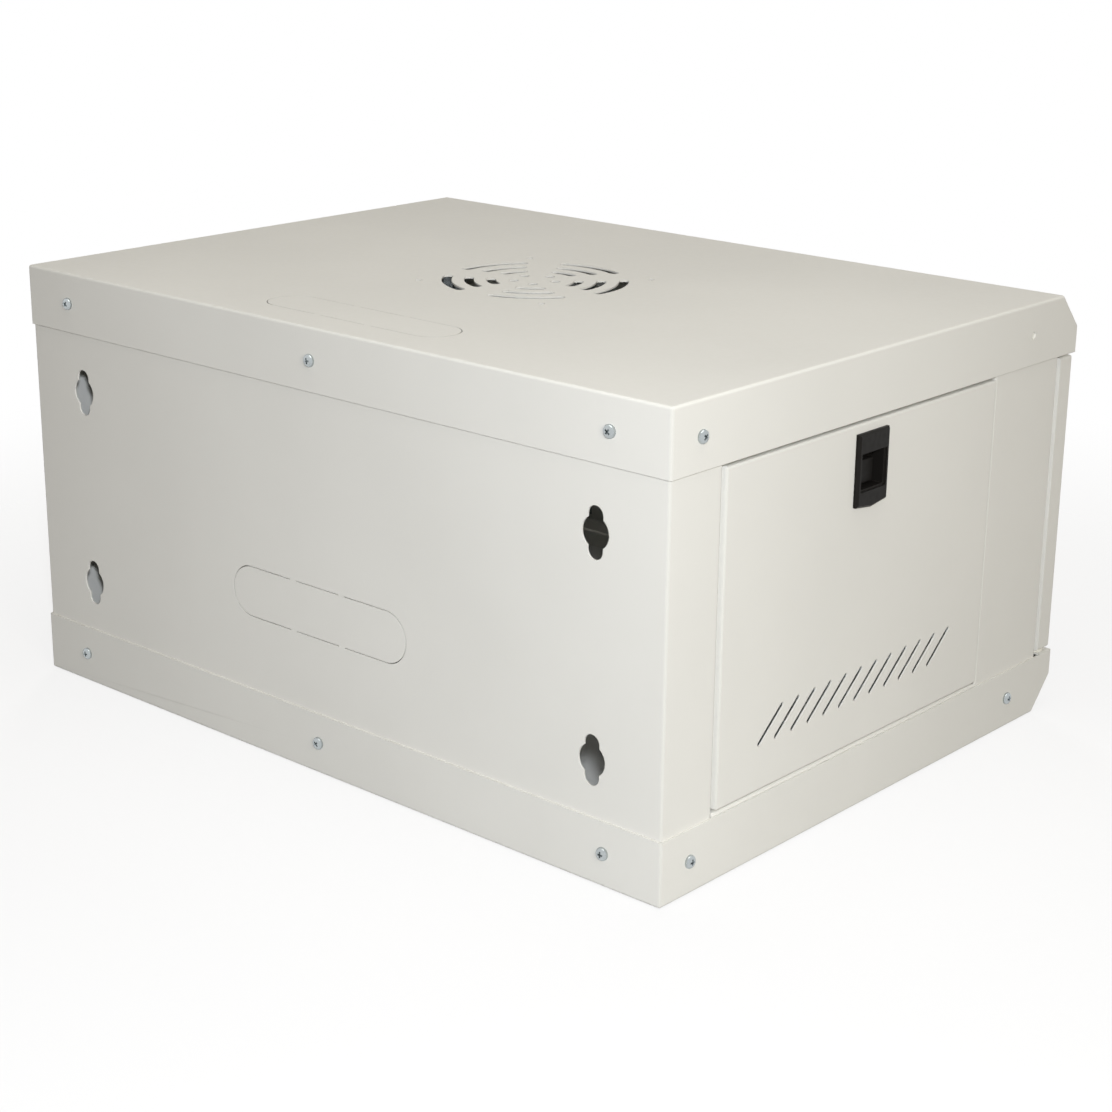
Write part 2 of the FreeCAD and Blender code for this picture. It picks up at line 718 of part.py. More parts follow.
def joggle_sill(frame, z, sill_end):
    """Set the end of a sill in by one sheet, so that it laps inside the rear panel's return."""
    z0 = z - JOGGLE_TAB_HEIGHT / 2
    z1 = z + JOGGLE_TAB_HEIGHT / 2
    start = sill_end - JOGGLE
    outer = BODY_X
    middle = BODY_X - SHEET
    inner = BODY_X - 2 * SHEET
    tip = RETURN_FRONT + JOGGLE_TAB
    frame = frame.cut(box(-outer - PAST, -inner, start, sill_end + PAST, z0, z1))
    section = [
        (-outer, start),
        (-middle, sill_end),
        (-middle, tip),
        (-inner, tip),
        (-inner, sill_end),
        (-middle, start),
    ]
    tab = prism([Vector(x, y, z0) for x, y in section], UP * (z1 - z0))
    return frame.fuse(tab)


# ---- side panels -------------------------------------------------------------------------
def turned_panel_piece(shape):
    """Both side panels are the same part: the right one is the left one turned half round."""
    turned = shape.copy()
    turned.rotate(Vector(0, PANEL_YC, 0), UP, 180)
    return turned


def vent_slots():
    """Row of slanted slots low in the panel, leaning towards the front as they rise."""
    cuts = []
    lean = math.degrees(math.atan2(VENT_RISE, -VENT_RUN))
    length = math.hypot(VENT_RISE, VENT_RUN) + VENT_WIDTH
    for i in range(VENT_COUNT):
        y = PANEL_YC + (i - (VENT_COUNT - 1) / 2) * VENT_PITCH
        slot = obround(length, VENT_WIDTH, (0, 0), in_side(0), RIGHT * (PANEL_SHEET + 2 * PAST))
        slot.rotate(Vector(0, 0, 0), RIGHT, lean)
        slot.translate(Vector(-PANEL_X - PAST, y, VENT_Z))
        cuts.append(slot)
    return group(cuts)


def side_panel():
    """Shallow pan with vents, a latch cut-out, and two hooks below."""
    outer = box(-PANEL_X, -PANEL_X + PANEL_RETURN, PANEL_Y0, PANEL_Y1, PANEL_Z0, PANEL_Z1)
    x_back = -PANEL_X + PANEL_RETURN
    outer_edges = [e for e in outer.Edges if not all(abs(v.X - x_back) < 1e-6 for v in e.Vertexes)]
    outer = outer.makeFillet(PANEL_BEND, outer_edges)
    t = PANEL_SHEET
    cavity = box(-PANEL_X + t, x_back + PAST, PANEL_Y0 + t, PANEL_Y1 - t, PANEL_Z0 + t, PANEL_Z1 - t)
    inner_edges = [e for e in cavity.Edges if not all(abs(v.X - x_back - PAST) < 1e-6 for v in e.Vertexes)]
    cavity = cavity.makeFillet(PANEL_BEND - t, inner_edges)
    panel = outer.cut(cavity).cut(vent_slots())
    for end in (-1, 1):
        y = PANEL_YC + end * HOOK_SPACING / 2
        y0, y1 = y - HOOK_WIDTH / 2, y + HOOK_WIDTH / 2
        hook = box(x_back, x_back + t, y0, y1, PANEL_Z0 - HOOK_DROP + t, PANEL_Z0 + t)
        root = box(x_back - t, x_back + t, y0, y1, PANEL_Z0, PANEL_Z0 + t)
        panel = panel.fuse(hook).fuse(root)
    half, z0, z1 = latch_body_span(0)
    latch_hole = box(-PANEL_X - PAST, -PANEL_X + t + PAST, PANEL_YC - half, PANEL_YC + half, z0, z1)
    panel = panel.cut(latch_hole)
    return panel.cut(nose_box(NOSE_NOTCH_GAP, PANEL_Z1 - 2 * t, PANEL_Z1 + PAST)).removeSplitter()


def latch_body_span(gap):
    """Half width, bottom and top of the latch's body where it passes through the panel."""
    return LATCH_WIDTH / 2 - LATCH_RIM - gap, LATCH_Z0 + LATCH_RIM + gap, LATCH_Z1 - LATCH_RIM - gap


def latch_housing():
    """Moulded latch body: bevelled bezel outside, finger recess, and a channel behind for the slider."""
    half = LATCH_WIDTH / 2
    face_x = -PANEL_X - LATCH_PROUD
    outline = [
        (PANEL_YC - half, LATCH_Z1),
        (PANEL_YC + half, LATCH_Z1),
        (PANEL_YC + half, LATCH_Z0),
        (PANEL_YC, LATCH_Z0 - LATCH_POINT),
        (PANEL_YC - half, LATCH_Z0),
    ]
    bezel = prism([Vector(-PANEL_X, y, z) for y, z in outline], RIGHT * -LATCH_PROUD)
    rim = [e for e in bezel.Edges if all(abs(v.X - face_x) < 1e-6 for v in e.Vertexes)]
    bezel = bezel.makeChamfer(LATCH_BEVEL, rim)
    body_half, z0, z1 = latch_body_span(0)
    back = -PANEL_X + LATCH_DEPTH
    body = box(-PANEL_X, back, PANEL_YC - body_half, PANEL_YC + body_half, z0, z1)
    housing = bezel.fuse(body)
    channel_back = back - SLIDER_BACK
    channel_front = channel_back - SLIDER_PLATE - 2 * SLIDER_RUN

    def pocket(x0, x1, half_width, low, high):
        return box(x0, x1, PANEL_YC - half_width, PANEL_YC + half_width, low, high)

    recess_half = RECESS_WIDTH / 2
    recess = pocket(face_x - PAST, channel_back, recess_half, RECESS_Z0, RECESS_Z1)
    mouth_half = recess_half + LATCH_BEVEL
    mouth = pocket(face_x - PAST, face_x + LATCH_BEVEL, mouth_half, RECESS_Z0 - LATCH_BEVEL, RECESS_Z1)
    channel_half = body_half - SLIDER_SIDE_WALL
    channel = pocket(channel_front, channel_back, channel_half, z0 + SLIDER_END_WALL, z1 - SLIDER_END_WALL)
    nose_half = NOSE_WIDTH / 2 + SLIDER_RUN
    nose_way = pocket(channel_front, channel_back, nose_half, z1 - 2 * SLIDER_END_WALL, z1 + PAST)
    return housing.cut(recess).cut(mouth).cut(channel).cut(nose_way)


def latch_slider():
    """Flat slider behind the recess, with a finger grip and a nose that rises into the slot above."""
    body_half, z0, z1 = latch_body_span(0)
    half = body_half - SLIDER_SIDE_WALL - SLIDER_RUN
    x1 = -PANEL_X + LATCH_DEPTH - SLIDER_BACK - SLIDER_RUN
    x0 = x1 - SLIDER_PLATE
    low = z0 + SLIDER_END_WALL + SLIDER_RUN
    high = z1 - SLIDER_END_WALL - SLIDER_RUN - SLIDER_TRAVEL
    slider = box(x0, x1, PANEL_YC - half, PANEL_YC + half, low, high)
    grip_half = RECESS_WIDTH / 2 - GRIP_SIDE_GAP
    grip_low = RECESS_Z0 + GRIP_LOW_GAP
    grip_high = RECESS_Z1 - SLIDER_TRAVEL - GRIP_HIGH_GAP
    face = x0 - GRIP_HEIGHT
    grip = box(face, x0, PANEL_YC - grip_half, PANEL_YC + grip_half, grip_low, grip_high)
    rounded = [e for e in grip.Edges if all(v.X < face + GRIP_ROUNDING for v in e.Vertexes)]
    slider = slider.fuse(grip.makeFillet(GRIP_ROUNDING, rounded))
    nose_top = PANEL_Z1 - NOSE_STANDOFF
    nose_half = NOSE_WIDTH / 2
    nose = box(x0, x1, PANEL_YC - nose_half, PANEL_YC + nose_half, high - SLIDER_PLATE, nose_top)
    tip = [e for e in nose.Edges if lies_at(e, x0, nose_top)]
    nose = nose.makeChamfer(NOSE_CHAMFER, tip)
    return slider.fuse(nose).removeSplitter()


def lies_at(edge, x, z):
    """Whether an edge runs along Y at the given X and Z."""
    return all(abs(v.X - x) < 1e-6 and abs(v.Z - z) < 1e-6 for v in edge.Vertexes)


# ---- 19-inch rails and support bars ------------------------------------------------------
def support_bar(z):
    """Left support bar: channel behind the post, a flat tongue forward to its hem, an ear at the rear lip."""
    x_in = -BAR_X
    x_out = x_in - BAR_SHEET - BAR_FLANGE
    half = BAR_HEIGHT / 2
    bend = BAR_SHEET + INNER_BEND
    flat = half - bend
    y0, y1 = POST_BACK + RELIEF, RETURN_FRONT - BAR_SHEET - RELIEF
    section = [(x_out, z - half), (x_in, z - half), (x_in, z + half), (x_out, z + half)]
    bar = bent_sheet(section, BAR_SHEET, INNER_BEND, in_front(y0), BACKWARD * (y1 - y0))
    tongue_end = y0 + BAR_END_RADIUS
    tongue = rounded_slab(BAR_FRONT, tongue_end, z - flat, z + flat, BAR_END_RADIUS, in_side(x_in),
                          RIGHT * -BAR_SHEET)
    neck = box(x_in - BAR_SHEET, x_in, y0 - RELIEF, tongue_end, z - flat, z + flat)
    ear_path = [(x_in, y1 - bend), (x_in, RETURN_FRONT), (x_in - BAR_EAR, RETURN_FRONT)]
    ear = bent_sheet(ear_path, BAR_SHEET, INNER_BEND, in_plan(z - flat), UP * 2 * flat)
    bar = bar.fuse(tongue).fuse(neck).fuse(ear)
    slots_start = POST_FRONT + POST_HEM
    pitch = (RETURN_FRONT - BAR_SHEET - slots_start) / BAR_SLOTS
    slot_place = in_side(x_in - 2 * BAR_SHEET)
    for i in range(BAR_SLOTS):
        y = slots_start + pitch * (i + 0.5)
        bar = bar.cut(obround(BAR_SLOT_LENGTH, BAR_SLOT_R * 2, (y, z), slot_place, RIGHT * 4 * BAR_SHEET))
    return bar.cut(bar_screw_holes()).removeSplitter()


def rail_hole_zs():
    start = MID_Z - UNITS * UNIT / 2
    return [start + unit * UNIT + hole for unit in range(UNITS) for hole in UNIT_HOLES]


def rack_rail():
    """Left mounting rail: angle strip with three square holes a unit."""
    x_leg = -BAR_X
    path = [(x_leg, RAIL_Y + RAIL_LEG), (x_leg, RAIL_Y), (RAIL_EDGE - HOLE_ROW_X, RAIL_Y)]
    rail = bent_sheet(path, RAIL_SHEET, INNER_BEND, in_plan(MID_Z - RAIL_REACH), UP * 2 * RAIL_REACH)
    half = SQUARE_HOLE / 2
    x = -HOLE_ROW_X
    holes = []
    for z in rail_hole_zs():
        holes.append(box(x - half, x + half, RAIL_Y - PAST, RAIL_Y + RAIL_SHEET + PAST, z - half, z + half))
    for z in BAR_ZS:
        holes.append(rod(Vector(x_leg - PAST, RAIL_BOLT_Y, z), RIGHT, BOLT_HOLE_R, RAIL_SHEET + 2 * PAST))
    return rail.cut(group(holes))


def rail_bolts():
    seats = [(side, z) for side in (-1, 1) for z in BAR_ZS]
    reach = RAIL_SHEET + BAR_SHEET + BOLT_NUT + BOLT_END
    bolts = []
    for side, z in seats:
        seat = Vector(side * (BAR_X - RAIL_SHEET), RAIL_BOLT_Y, z)
        bolts.append(pan_screw(seat, RIGHT * side, BOLT_HEAD_R, BOLT_HEAD, BOLT_R, reach))
    return group(bolts)


def rail_nuts():
    nuts = []
    for side in (-1, 1):
        for z in BAR_ZS:
            seat = Vector(side * (BAR_X + BAR_SHEET), RAIL_BOLT_Y, z)
            nuts.append(nut(seat, RIGHT * side, BOLT_NUT_FLATS, BOLT_NUT, BOLT_BORE_R))
    return group(nuts)


def bar_screw_seats():
    """Where each support bar screw's head sits, the way its shank goes, and where its nut sits."""
    stack = SHEET + BAR_SHEET
    seats = []
    for z in BAR_ZS:
        for side in (-1, 1):
            outward = RIGHT * side
            hem = Vector(side * BAR_X, HEM_SCREW_Y, z)
            ear = Vector(side * EAR_SCREW_X, RETURN_FRONT - BAR_SHEET, z)
            seats.append((hem, outward, hem + outward * stack))
            seats.append((ear, BACKWARD, ear + BACKWARD * stack))
    return seats


def bar_screws():
    screws = []
    for seat, way, _ in bar_screw_seats():
        screws.append(pan_screw(seat, way, SCREW_HEAD_R, SCREW_HEAD, SCREW_R, SCREW_REACH))
    return group(screws)


def bar_nuts():
    return group([nut(seat, way, NUT_FLATS, NUT_DEPTH, NUT_HOLE_R) for _, way, seat in bar_screw_seats()])


# ---- cover screws and their weld nuts ----------------------------------------------------
def cover_screws(side):
    screws = []
    for seat, inward in used_screw_seats()[side]:
        screws.append(pan_screw(seat, inward, SCREW_HEAD_R, SCREW_HEAD, SCREW_R, SCREW_REACH))
    return group(screws)


def weld_nuts():
    """Nuts on the inside of the body sheets; the rear ones on the sides sit on the sills' lapped ends."""
    nuts = []
    for seats in used_screw_seats().values():
        for seat, inward in seats:
            lapped = abs(seat.x) > WIDTH / 2 - 1 and seat.y > 0
            layers = 3 if lapped else 2
            nuts.append(nut(seat + inward * SHEET * layers, inward, NUT_FLATS, NUT_DEPTH, NUT_HOLE_R))
    return group(nuts)


# ---- front door --------------------------------------------------------------------------
def door_frame():
    """Pressed steel door with a window, edges folded back and then inward."""
    outer = box(-DOOR_X, DOOR_X, DOOR_FRONT, DOOR_BACK, DOOR_Z0, DOOR_Z1)
    edges = [e for e in outer.Edges if not all(abs(v.Y - DOOR_BACK) < 1e-6 for v in e.Vertexes)]
    outer = outer.makeFillet(BEND, edges)
    t = SHEET
    cavity = box(-DOOR_X + t, DOOR_X - t, DOOR_INNER, DOOR_BACK - t, DOOR_Z0 + t, DOOR_Z1 - t)
    cavity = cavity.makeFillet(INNER_BEND, cavity.Edges)
    lip = DOOR_BACK_LIP
    y0, y1 = DOOR_BACK - 4 * t, DOOR_BACK + PAST
    mouth = box(-DOOR_X + lip, DOOR_X - lip, y0, y1, DOOR_Z0 + lip, DOOR_Z1 - lip)
    frame = outer.cut(cavity).cut(mouth)
    through = BACKWARD * (t + 2 * PAST)
    start = DOOR_FRONT - PAST
    window = rounded_slab(-WINDOW_X, WINDOW_X, WINDOW_Z0, WINDOW_Z1, WINDOW_CORNER, in_front(start), through)
    lock_hole = rod(Vector(LOCK_X, start, MID_Z), BACKWARD, LOCK_HOLE_R, t + 2 * PAST)
    frame = frame.cut(window).cut(lock_hole)
    for z in (DOOR_Z0, DOOR_Z1 - t):
        frame = frame.cut(rod(Vector(PIN_X, PIN_Y, z - PAST), UP, PIN_BORE_R, t + 2 * PAST))
    return frame


def door_glass():
    x = WINDOW_X + GLASS_LAP
    z0, z1 = WINDOW_Z0 - GLASS_LAP, WINDOW_Z1 + GLASS_LAP
    return rounded_slab(-x, x, z0, z1, WINDOW_CORNER, in_front(GLASS_FRONT), BACKWARD * GLASS)


def door_gasket():
    """Flat rubber frame between the door's sheet and the glass."""
    x = WINDOW_X + GLASS_LAP
    z0, z1 = WINDOW_Z0 - GLASS_LAP, WINDOW_Z1 + GLASS_LAP
    w = GASKET_WIDTH
    outer = rounded_slab(-x, x, z0, z1, WINDOW_CORNER, in_front(DOOR_INNER), BACKWARD * GASKET)
    corner = WINDOW_CORNER - w / 2
    inner = rounded_slab(-x + w, x - w, z0 + w, z1 - w, corner, in_front(DOOR_INNER), BACKWARD * GASKET)
    return outer.cut(inner)


def clip_places():
    """Middle of each clip's glass-side edge and the way out from the glass, in X and Z."""
    x = WINDOW_X + GLASS_LAP
    z0, z1 = WINDOW_Z0 - GLASS_LAP, WINDOW_Z1 + GLASS_LAP
    places = []
    for along in (-CLIP_END_X, 0, CLIP_END_X):
        places.append((Vector(along, 0, z0), Vector(0, 0, -1)))
        places.append((Vector(along, 0, z1), Vector(0, 0, 1)))
    for side in (-1, 1):
        for dz in (-CLIP_SIDE_Z, CLIP_SIDE_Z):
            places.append((Vector(side * x, 0, MID_Z + dz), Vector(side, 0, 0)))
    return places


def clip_stud_out():
    return CLIP_SHEET + CLIP_HOLE_GAP + CLIP_FOOT / 2


def glass_clips():
    """Z-shaped clips that hold the glass against its gasket."""
    clips = []
    rise = GLASS_BACK + CLIP_SHEET
    wall = CLIP_GAP + CLIP_SHEET
    path = [
        (wall + CLIP_FOOT, DOOR_INNER + CLIP_SHEET),
        (wall, DOOR_INNER + CLIP_SHEET),
        (wall, rise),
        (-CLIP_REACH, rise),
    ]
    for middle, out in clip_places():
        across = out.cross(BACKWARD)
        start = middle - across * (CLIP_WIDTH / 2)

        def place(u, v, start=start, out=out):
            return start + out * u + BACKWARD * v

        clip = bent_sheet(path, CLIP_SHEET, CLIP_BEND, place, across * CLIP_WIDTH)
        stud = middle + out * clip_stud_out() + BACKWARD * (DOOR_INNER - PAST)
        clips.append(clip.cut(rod(stud, BACKWARD, SCREW_HOLE_R, CLIP_SHEET + 3 * PAST)))
    return group(clips)


def glass_clip_studs():
    length = CLIP_SHEET + NUT_DEPTH + BOLT_END
    studs = []
    for middle, out in clip_places():
        studs.append(rod(middle + out * clip_stud_out() + BACKWARD * DOOR_INNER, BACKWARD, STUD_R, length))
    return group(studs)


def glass_clip_nuts():
    nuts = []
    for middle, out in clip_places():
        seat = middle + out * clip_stud_out() + BACKWARD * (DOOR_INNER + CLIP_SHEET)
        nuts.append(nut(seat, BACKWARD, NUT_FLATS, NUT_DEPTH, NUT_HOLE_R))
    return group(nuts)


# ---- door hinge pins ---------------------------------------------------------------------
def pin_bush(lip_z, way):
    """Flanged bush in a cover's front lip; the flange is on the door's side."""
    start = Vector(PIN_X, PIN_Y, lip_z)
    bush = rod(start, UP * way, BUSH_R, SHEET + BUSH_END)
    bush = bush.fuse(rod(start, UP * -way, BUSH_FLANGE_R, BUSH_FLANGE))
    bore = rod(start - UP * way * (BUSH_FLANGE + PAST), UP * way, PIN_BORE_R, BUSH_FLANGE + SHEET + 3 * PAST)
    return bush.cut(bore)


def lower_hinge_pin():
    """Pin fixed in the door's lower edge by its collar."""
    tip = FLANGE - PIN_REACH + SHEET
    head = DOOR_Z0 + SHEET
    pin = rod(Vector(PIN_X, PIN_Y, tip), UP, PIN_R, head + PIN_COLLAR - tip)
    pin = pin.fuse(rod(Vector(PIN_X, PIN_Y, head), UP, PIN_COLLAR_R, PIN_COLLAR))
    lower_edge = [e for e in pin.Edges if e.BoundBox.ZMax < tip + 1e-3]
    return pin.makeChamfer(PIN_CHAMFER, lower_edge)


def upper_hinge_pin():
    """Sprung pin with a bent finger lever; pulling it down frees the door."""
    tip = TOP_FLANGE_Z + PIN_REACH - SHEET
    foot = BRACKET_TOP - SHEET - PIN_LEVER_DROP
    pin = rod(Vector(PIN_X, PIN_Y, foot), UP, PIN_R, tip - foot)
    tip_edge = [e for e in pin.Edges if e.BoundBox.ZMin > tip - 1e-3]
    pin = pin.makeChamfer(PIN_CHAMFER, tip_edge)
    collar = rod(Vector(PIN_X, PIN_Y, COLLAR_Z), UP, PIN_COLLAR_R, PIN_COLLAR)
    lever_root = Vector(PIN_X, PIN_Y, foot + PIN_LEVER_R + PIN_LEVER_END)
    lever = rod(lever_root, RIGHT, PIN_LEVER_R, PIN_LEVER)
    knob = Part.makeSphere(PIN_LEVER_R, lever_root + RIGHT * PIN_LEVER)
    return pin.fuse(collar).fuse(lever).fuse(knob).removeSplitter()


def pin_bracket():
    """Small angle bracket on the door's hinge edge that guides the sprung pin."""
    wall = -DOOR_X + SHEET
    half = PIN_COLLAR_R
    y0, y1 = PIN_Y - half, PIN_Y + half
    path = [
        (wall + PIN_BRACKET_REACH, BRACKET_TOP),
        (wall, BRACKET_TOP),
        (wall, BRACKET_TOP - SHEET - PIN_BRACKET_HEIGHT),
    ]
    bracket = bent_sheet(path, SHEET, INNER_BEND, in_front(y0), BACKWARD * (y1 - y0))
    below = Vector(PIN_X, PIN_Y, BRACKET_TOP - SHEET - PAST)
    return bracket.cut(rod(below, UP, PIN_BORE_R, SHEET + 2 * PAST))


def pin_spring():
    """Compression spring between the bracket and the sprung pin's collar."""
    half = SPRING_WIRE / 2
    rise = SPRING_LENGTH - SPRING_WIRE - 2 * SPRING_END
    helix = Part.makeHelix(rise / SPRING_TURNS, rise, SPRING_R)
    near, far = SPRING_R - half, SPRING_R + half
    corners = [(near, -half), (far, -half), (far, half), (near, half)]
    section = Part.makePolygon([Vector(x, 0, z) for x, z in corners + corners[:1]])
    coil = Part.Wire(helix).makePipeShell([section], True, True)
    coil.translate(Vector(PIN_X, PIN_Y, BRACKET_TOP + half + SPRING_END))
    return coil


# ---- door lock ---------------------------------------------------------------------------
def lock_housing():
    """Round lock body with its rim on the door's face."""
    rear = POST_FRONT - LOCK_REAR_GAP
    start = Vector(LOCK_X, DOOR_FRONT, MID_Z)
    body = rod(start, BACKWARD, LOCK_R, rear - DOOR_FRONT)
    rim = rod(start - BACKWARD * LOCK_FLANGE, BACKWARD, LOCK_FLANGE_R, LOCK_FLANGE)
    face_y = DOOR_FRONT - LOCK_FLANGE
    rim_edge = [e for e in rim.Edges if abs(e.BoundBox.YMax - face_y) < 1e-3 and e.BoundBox.YLength < 1e-3]
    rim = rim.makeChamfer(LOCK_CHAMFER, rim_edge)
    length = rear - face_y
    bore = rod(Vector(LOCK_X, face_y - PAST, MID_Z), BACKWARD, BARREL_BORE_R, length + 2 * PAST)
    return body.fuse(rim).cut(bore)


def lock_barrel():
    """Keyed barrel with a spindle that carries the cam."""
    front = DOOR_FRONT - LOCK_FLANGE - BARREL_PROUD
    rear = POST_FRONT - LOCK_REAR_GAP
    spindle_end = POST_FRONT + SHEET + CAM_GAP + CAM + CAM_NUT + BOLT_END
    barrel = rod(Vector(LOCK_X, front, MID_Z), BACKWARD, BARREL_R, rear - front)
    barrel = barrel.fuse(rod(Vector(LOCK_X, rear, MID_Z), BACKWARD, SPINDLE_R, spindle_end - rear))
    x0, x1 = LOCK_X - KEY_SLOT / 2, LOCK_X + KEY_SLOT / 2
    keyway = box(x0, x1, front - PAST, front + KEY_SLOT_DEPTH, MID_Z - KEY_SLOT_REACH, MID_Z + KEY_SLOT_REACH)
    return barrel.cut(keyway)


def lock_nut():
    return nut(Vector(LOCK_X, DOOR_INNER, MID_Z), BACKWARD, LOCK_NUT_FLATS, LOCK_NUT, LOCK_R)


def lock_cam():
    """Flat cam, drawn turned up and clear of the post; a quarter turn takes it behind the post."""
    y0 = POST_FRONT + SHEET + CAM_GAP
    half = CAM_WIDTH / 2
    middle = (LOCK_X, MID_Z + (CAM_LENGTH - half) / 2)
    cam = obround(CAM_LENGTH + half, CAM_WIDTH, (0, 0), in_front(0), BACKWARD * CAM)
    cam.rotate(Vector(0, 0, 0), BACKWARD, 90)
    cam.translate(Vector(middle[0], y0, middle[1]))
    return cam.cut(rod(Vector(LOCK_X, y0 - PAST, MID_Z), BACKWARD, SPINDLE_R, CAM + 2 * PAST))


def lock_cam_nut():
    y0 = POST_FRONT + SHEET + CAM_GAP + CAM
    return nut(Vector(LOCK_X, y0, MID_Z), BACKWARD, CAM_NUT_FLATS, CAM_NUT, SPINDLE_R)


# ---- earth stud --------------------------------------------------------------------------
def earth_stud():
    return rod(Vector(EARTH_X, EARTH_Y, SHEET), UP, BOLT_R, EARTH_LENGTH)


def earth_nut():
    seat = Vector(EARTH_X, EARTH_Y, SHEET)
    washer = rod(seat, UP, WASHER_R, WASHER).cut(rod(seat, UP, BOLT_BORE_R, WASHER))
    seat = seat + UP * WASHER
    return group([washer, nut(seat, UP, BOLT_NUT_FLATS, BOLT_NUT, BOLT_BORE_R)])


# ---- the whole cabinet -------------------------------------------------------------------
def cabinet_parts():
    parts = {
        "top_cover": top_cover(),
        "bottom_cover": bottom_cover(),
        "rear_panel": rear_panel(),
        "weld_nuts": weld_nuts(),
        "rail_bolts": rail_bolts(),
        "rail_nuts": rail_nuts(),
        "bar_screws": bar_screws(),
        "bar_nuts": bar_nuts(),
        "upper_pin_bush": pin_bush(TOP_FLANGE_Z, 1),
        "lower_pin_bush": pin_bush(FLANGE, -1),
        "earth_stud": earth_stud(),
        "earth_nut": earth_nut(),
        "door_frame": door_frame(),
        "door_glass": door_glass(),
        "door_gasket": door_gasket(),
        "glass_clips": glass_clips(),
        "glass_clip_studs": glass_clip_studs(),
        "glass_clip_nuts": glass_clip_nuts(),
        "lower_hinge_pin": lower_hinge_pin(),
        "upper_hinge_pin": upper_hinge_pin(),
        "pin_bracket": pin_bracket(),
        "pin_spring": pin_spring(),
        "lock_housing": lock_housing(),
        "lock_barrel": lock_barrel(),
        "lock_nut": lock_nut(),
        "lock_cam": lock_cam(),
        "lock_cam_nut": lock_cam_nut(),
    }
    for side in ("rear", "left", "right"):
        parts["cover_screws_" + side] = cover_screws(side)
    frame, rail = side_frame(), rack_rail()
    drilling = screw_holes(used_screw_seats())
    parts["side_frame_left"] = frame.cut(drilling)
    parts["side_frame_right"] = mirrored(frame).cut(drilling)
    parts["rack_rail_left"] = rail
    parts["rack_rail_right"] = mirrored(rail)
    for level, z in zip(("lower", "upper"), BAR_ZS):
        bar = support_bar(z)
        parts["support_bar_left_" + level] = bar
        parts["support_bar_right_" + level] = mirrored(bar)
    panel_pieces = (("side_panel", side_panel()), ("latch_housing", latch_housing()))
    for name, shape in panel_pieces + (("latch_slider", latch_slider()),):
        parts[name + "_left"] = shape
        parts[name + "_right"] = turned_panel_piece(shape)
    return parts


os.makedirs("parts", exist_ok=True)
for node, shape in cabinet_parts().items():
    shape.exportStep("parts/" + node + ".step")
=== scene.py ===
"""Looks of the wall mount network cabinet: its finishes, its small fasteners, a studio and a camera."""
import json
import math
from collections import namedtuple

import bmesh
import bpy
from mathutils import Matrix, Vector


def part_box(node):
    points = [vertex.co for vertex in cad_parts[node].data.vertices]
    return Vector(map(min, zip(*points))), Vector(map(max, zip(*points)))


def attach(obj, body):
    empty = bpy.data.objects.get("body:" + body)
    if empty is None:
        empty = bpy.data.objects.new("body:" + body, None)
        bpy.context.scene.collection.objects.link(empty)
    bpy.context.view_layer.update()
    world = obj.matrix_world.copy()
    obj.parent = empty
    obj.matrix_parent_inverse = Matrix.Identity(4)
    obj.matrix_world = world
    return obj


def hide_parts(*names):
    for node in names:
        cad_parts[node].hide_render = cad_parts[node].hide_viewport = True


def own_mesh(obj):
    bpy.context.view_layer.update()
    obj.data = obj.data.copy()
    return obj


MM = 0.001
X_AXIS = Vector((1, 0, 0))
Y_AXIS = Vector((0, 1, 0))
Z_AXIS = Vector((0, 0, 1))
SIDES = (-1, 1)
Place = namedtuple("Place", "x y z")

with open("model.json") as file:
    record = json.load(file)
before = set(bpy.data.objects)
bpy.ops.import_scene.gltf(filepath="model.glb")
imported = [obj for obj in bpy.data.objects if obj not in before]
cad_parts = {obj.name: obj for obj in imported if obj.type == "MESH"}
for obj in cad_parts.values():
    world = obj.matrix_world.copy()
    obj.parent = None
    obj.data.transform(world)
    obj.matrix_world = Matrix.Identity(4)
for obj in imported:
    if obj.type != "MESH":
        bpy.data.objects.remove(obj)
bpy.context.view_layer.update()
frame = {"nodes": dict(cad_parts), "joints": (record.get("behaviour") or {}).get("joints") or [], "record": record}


# ---- places taken from the frame, in millimetres -----------------------------------------
def in_mm(values):
    """Metres as millimetres, to the micron."""
    return [round(value / MM, 3) for value in values]


def lowest(node):
    """A node's lowest corner at rest."""
    return Place(*in_mm(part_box(node)[0]))


def highest(node):
    """A node's highest corner at rest."""
    return Place(*in_mm(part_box(node)[1]))


def middle(node):
    """The middle of a node's box at rest."""
    return Place(*((low + high) / 2 for low, high in zip(lowest(node), highest(node))))


def named(rows, name):
    """The row of that name in a list of the record."""
    return next(row for row in rows if row["name"] == name)


SHEET = 1.2
BAR_SHEET = 1.5
RAIL_SHEET = 1.5
CLIP_SHEET = 1.2

HALF_WIDTH, BACK, TOP = highest("top_cover")
FRONT = lowest("top_cover").y
MID_Z = TOP / 2

SCREW_INSET = 20.0
REAR_SCREW_INSET = 41.0
SIDE_SCREW_BACK = 25.0
SIDE_SCREW_FRONT = 55.0
SCREW_ZS = (SCREW_INSET, TOP - SCREW_INSET)
REAR_SCREW_XS = (REAR_SCREW_INSET - HALF_WIDTH, 0.0, HALF_WIDTH - REAR_SCREW_INSET)
BACK_SCREW_Y = BACK - SIDE_SCREW_BACK
FRONT_SCREW_Y = FRONT + SIDE_SCREW_FRONT

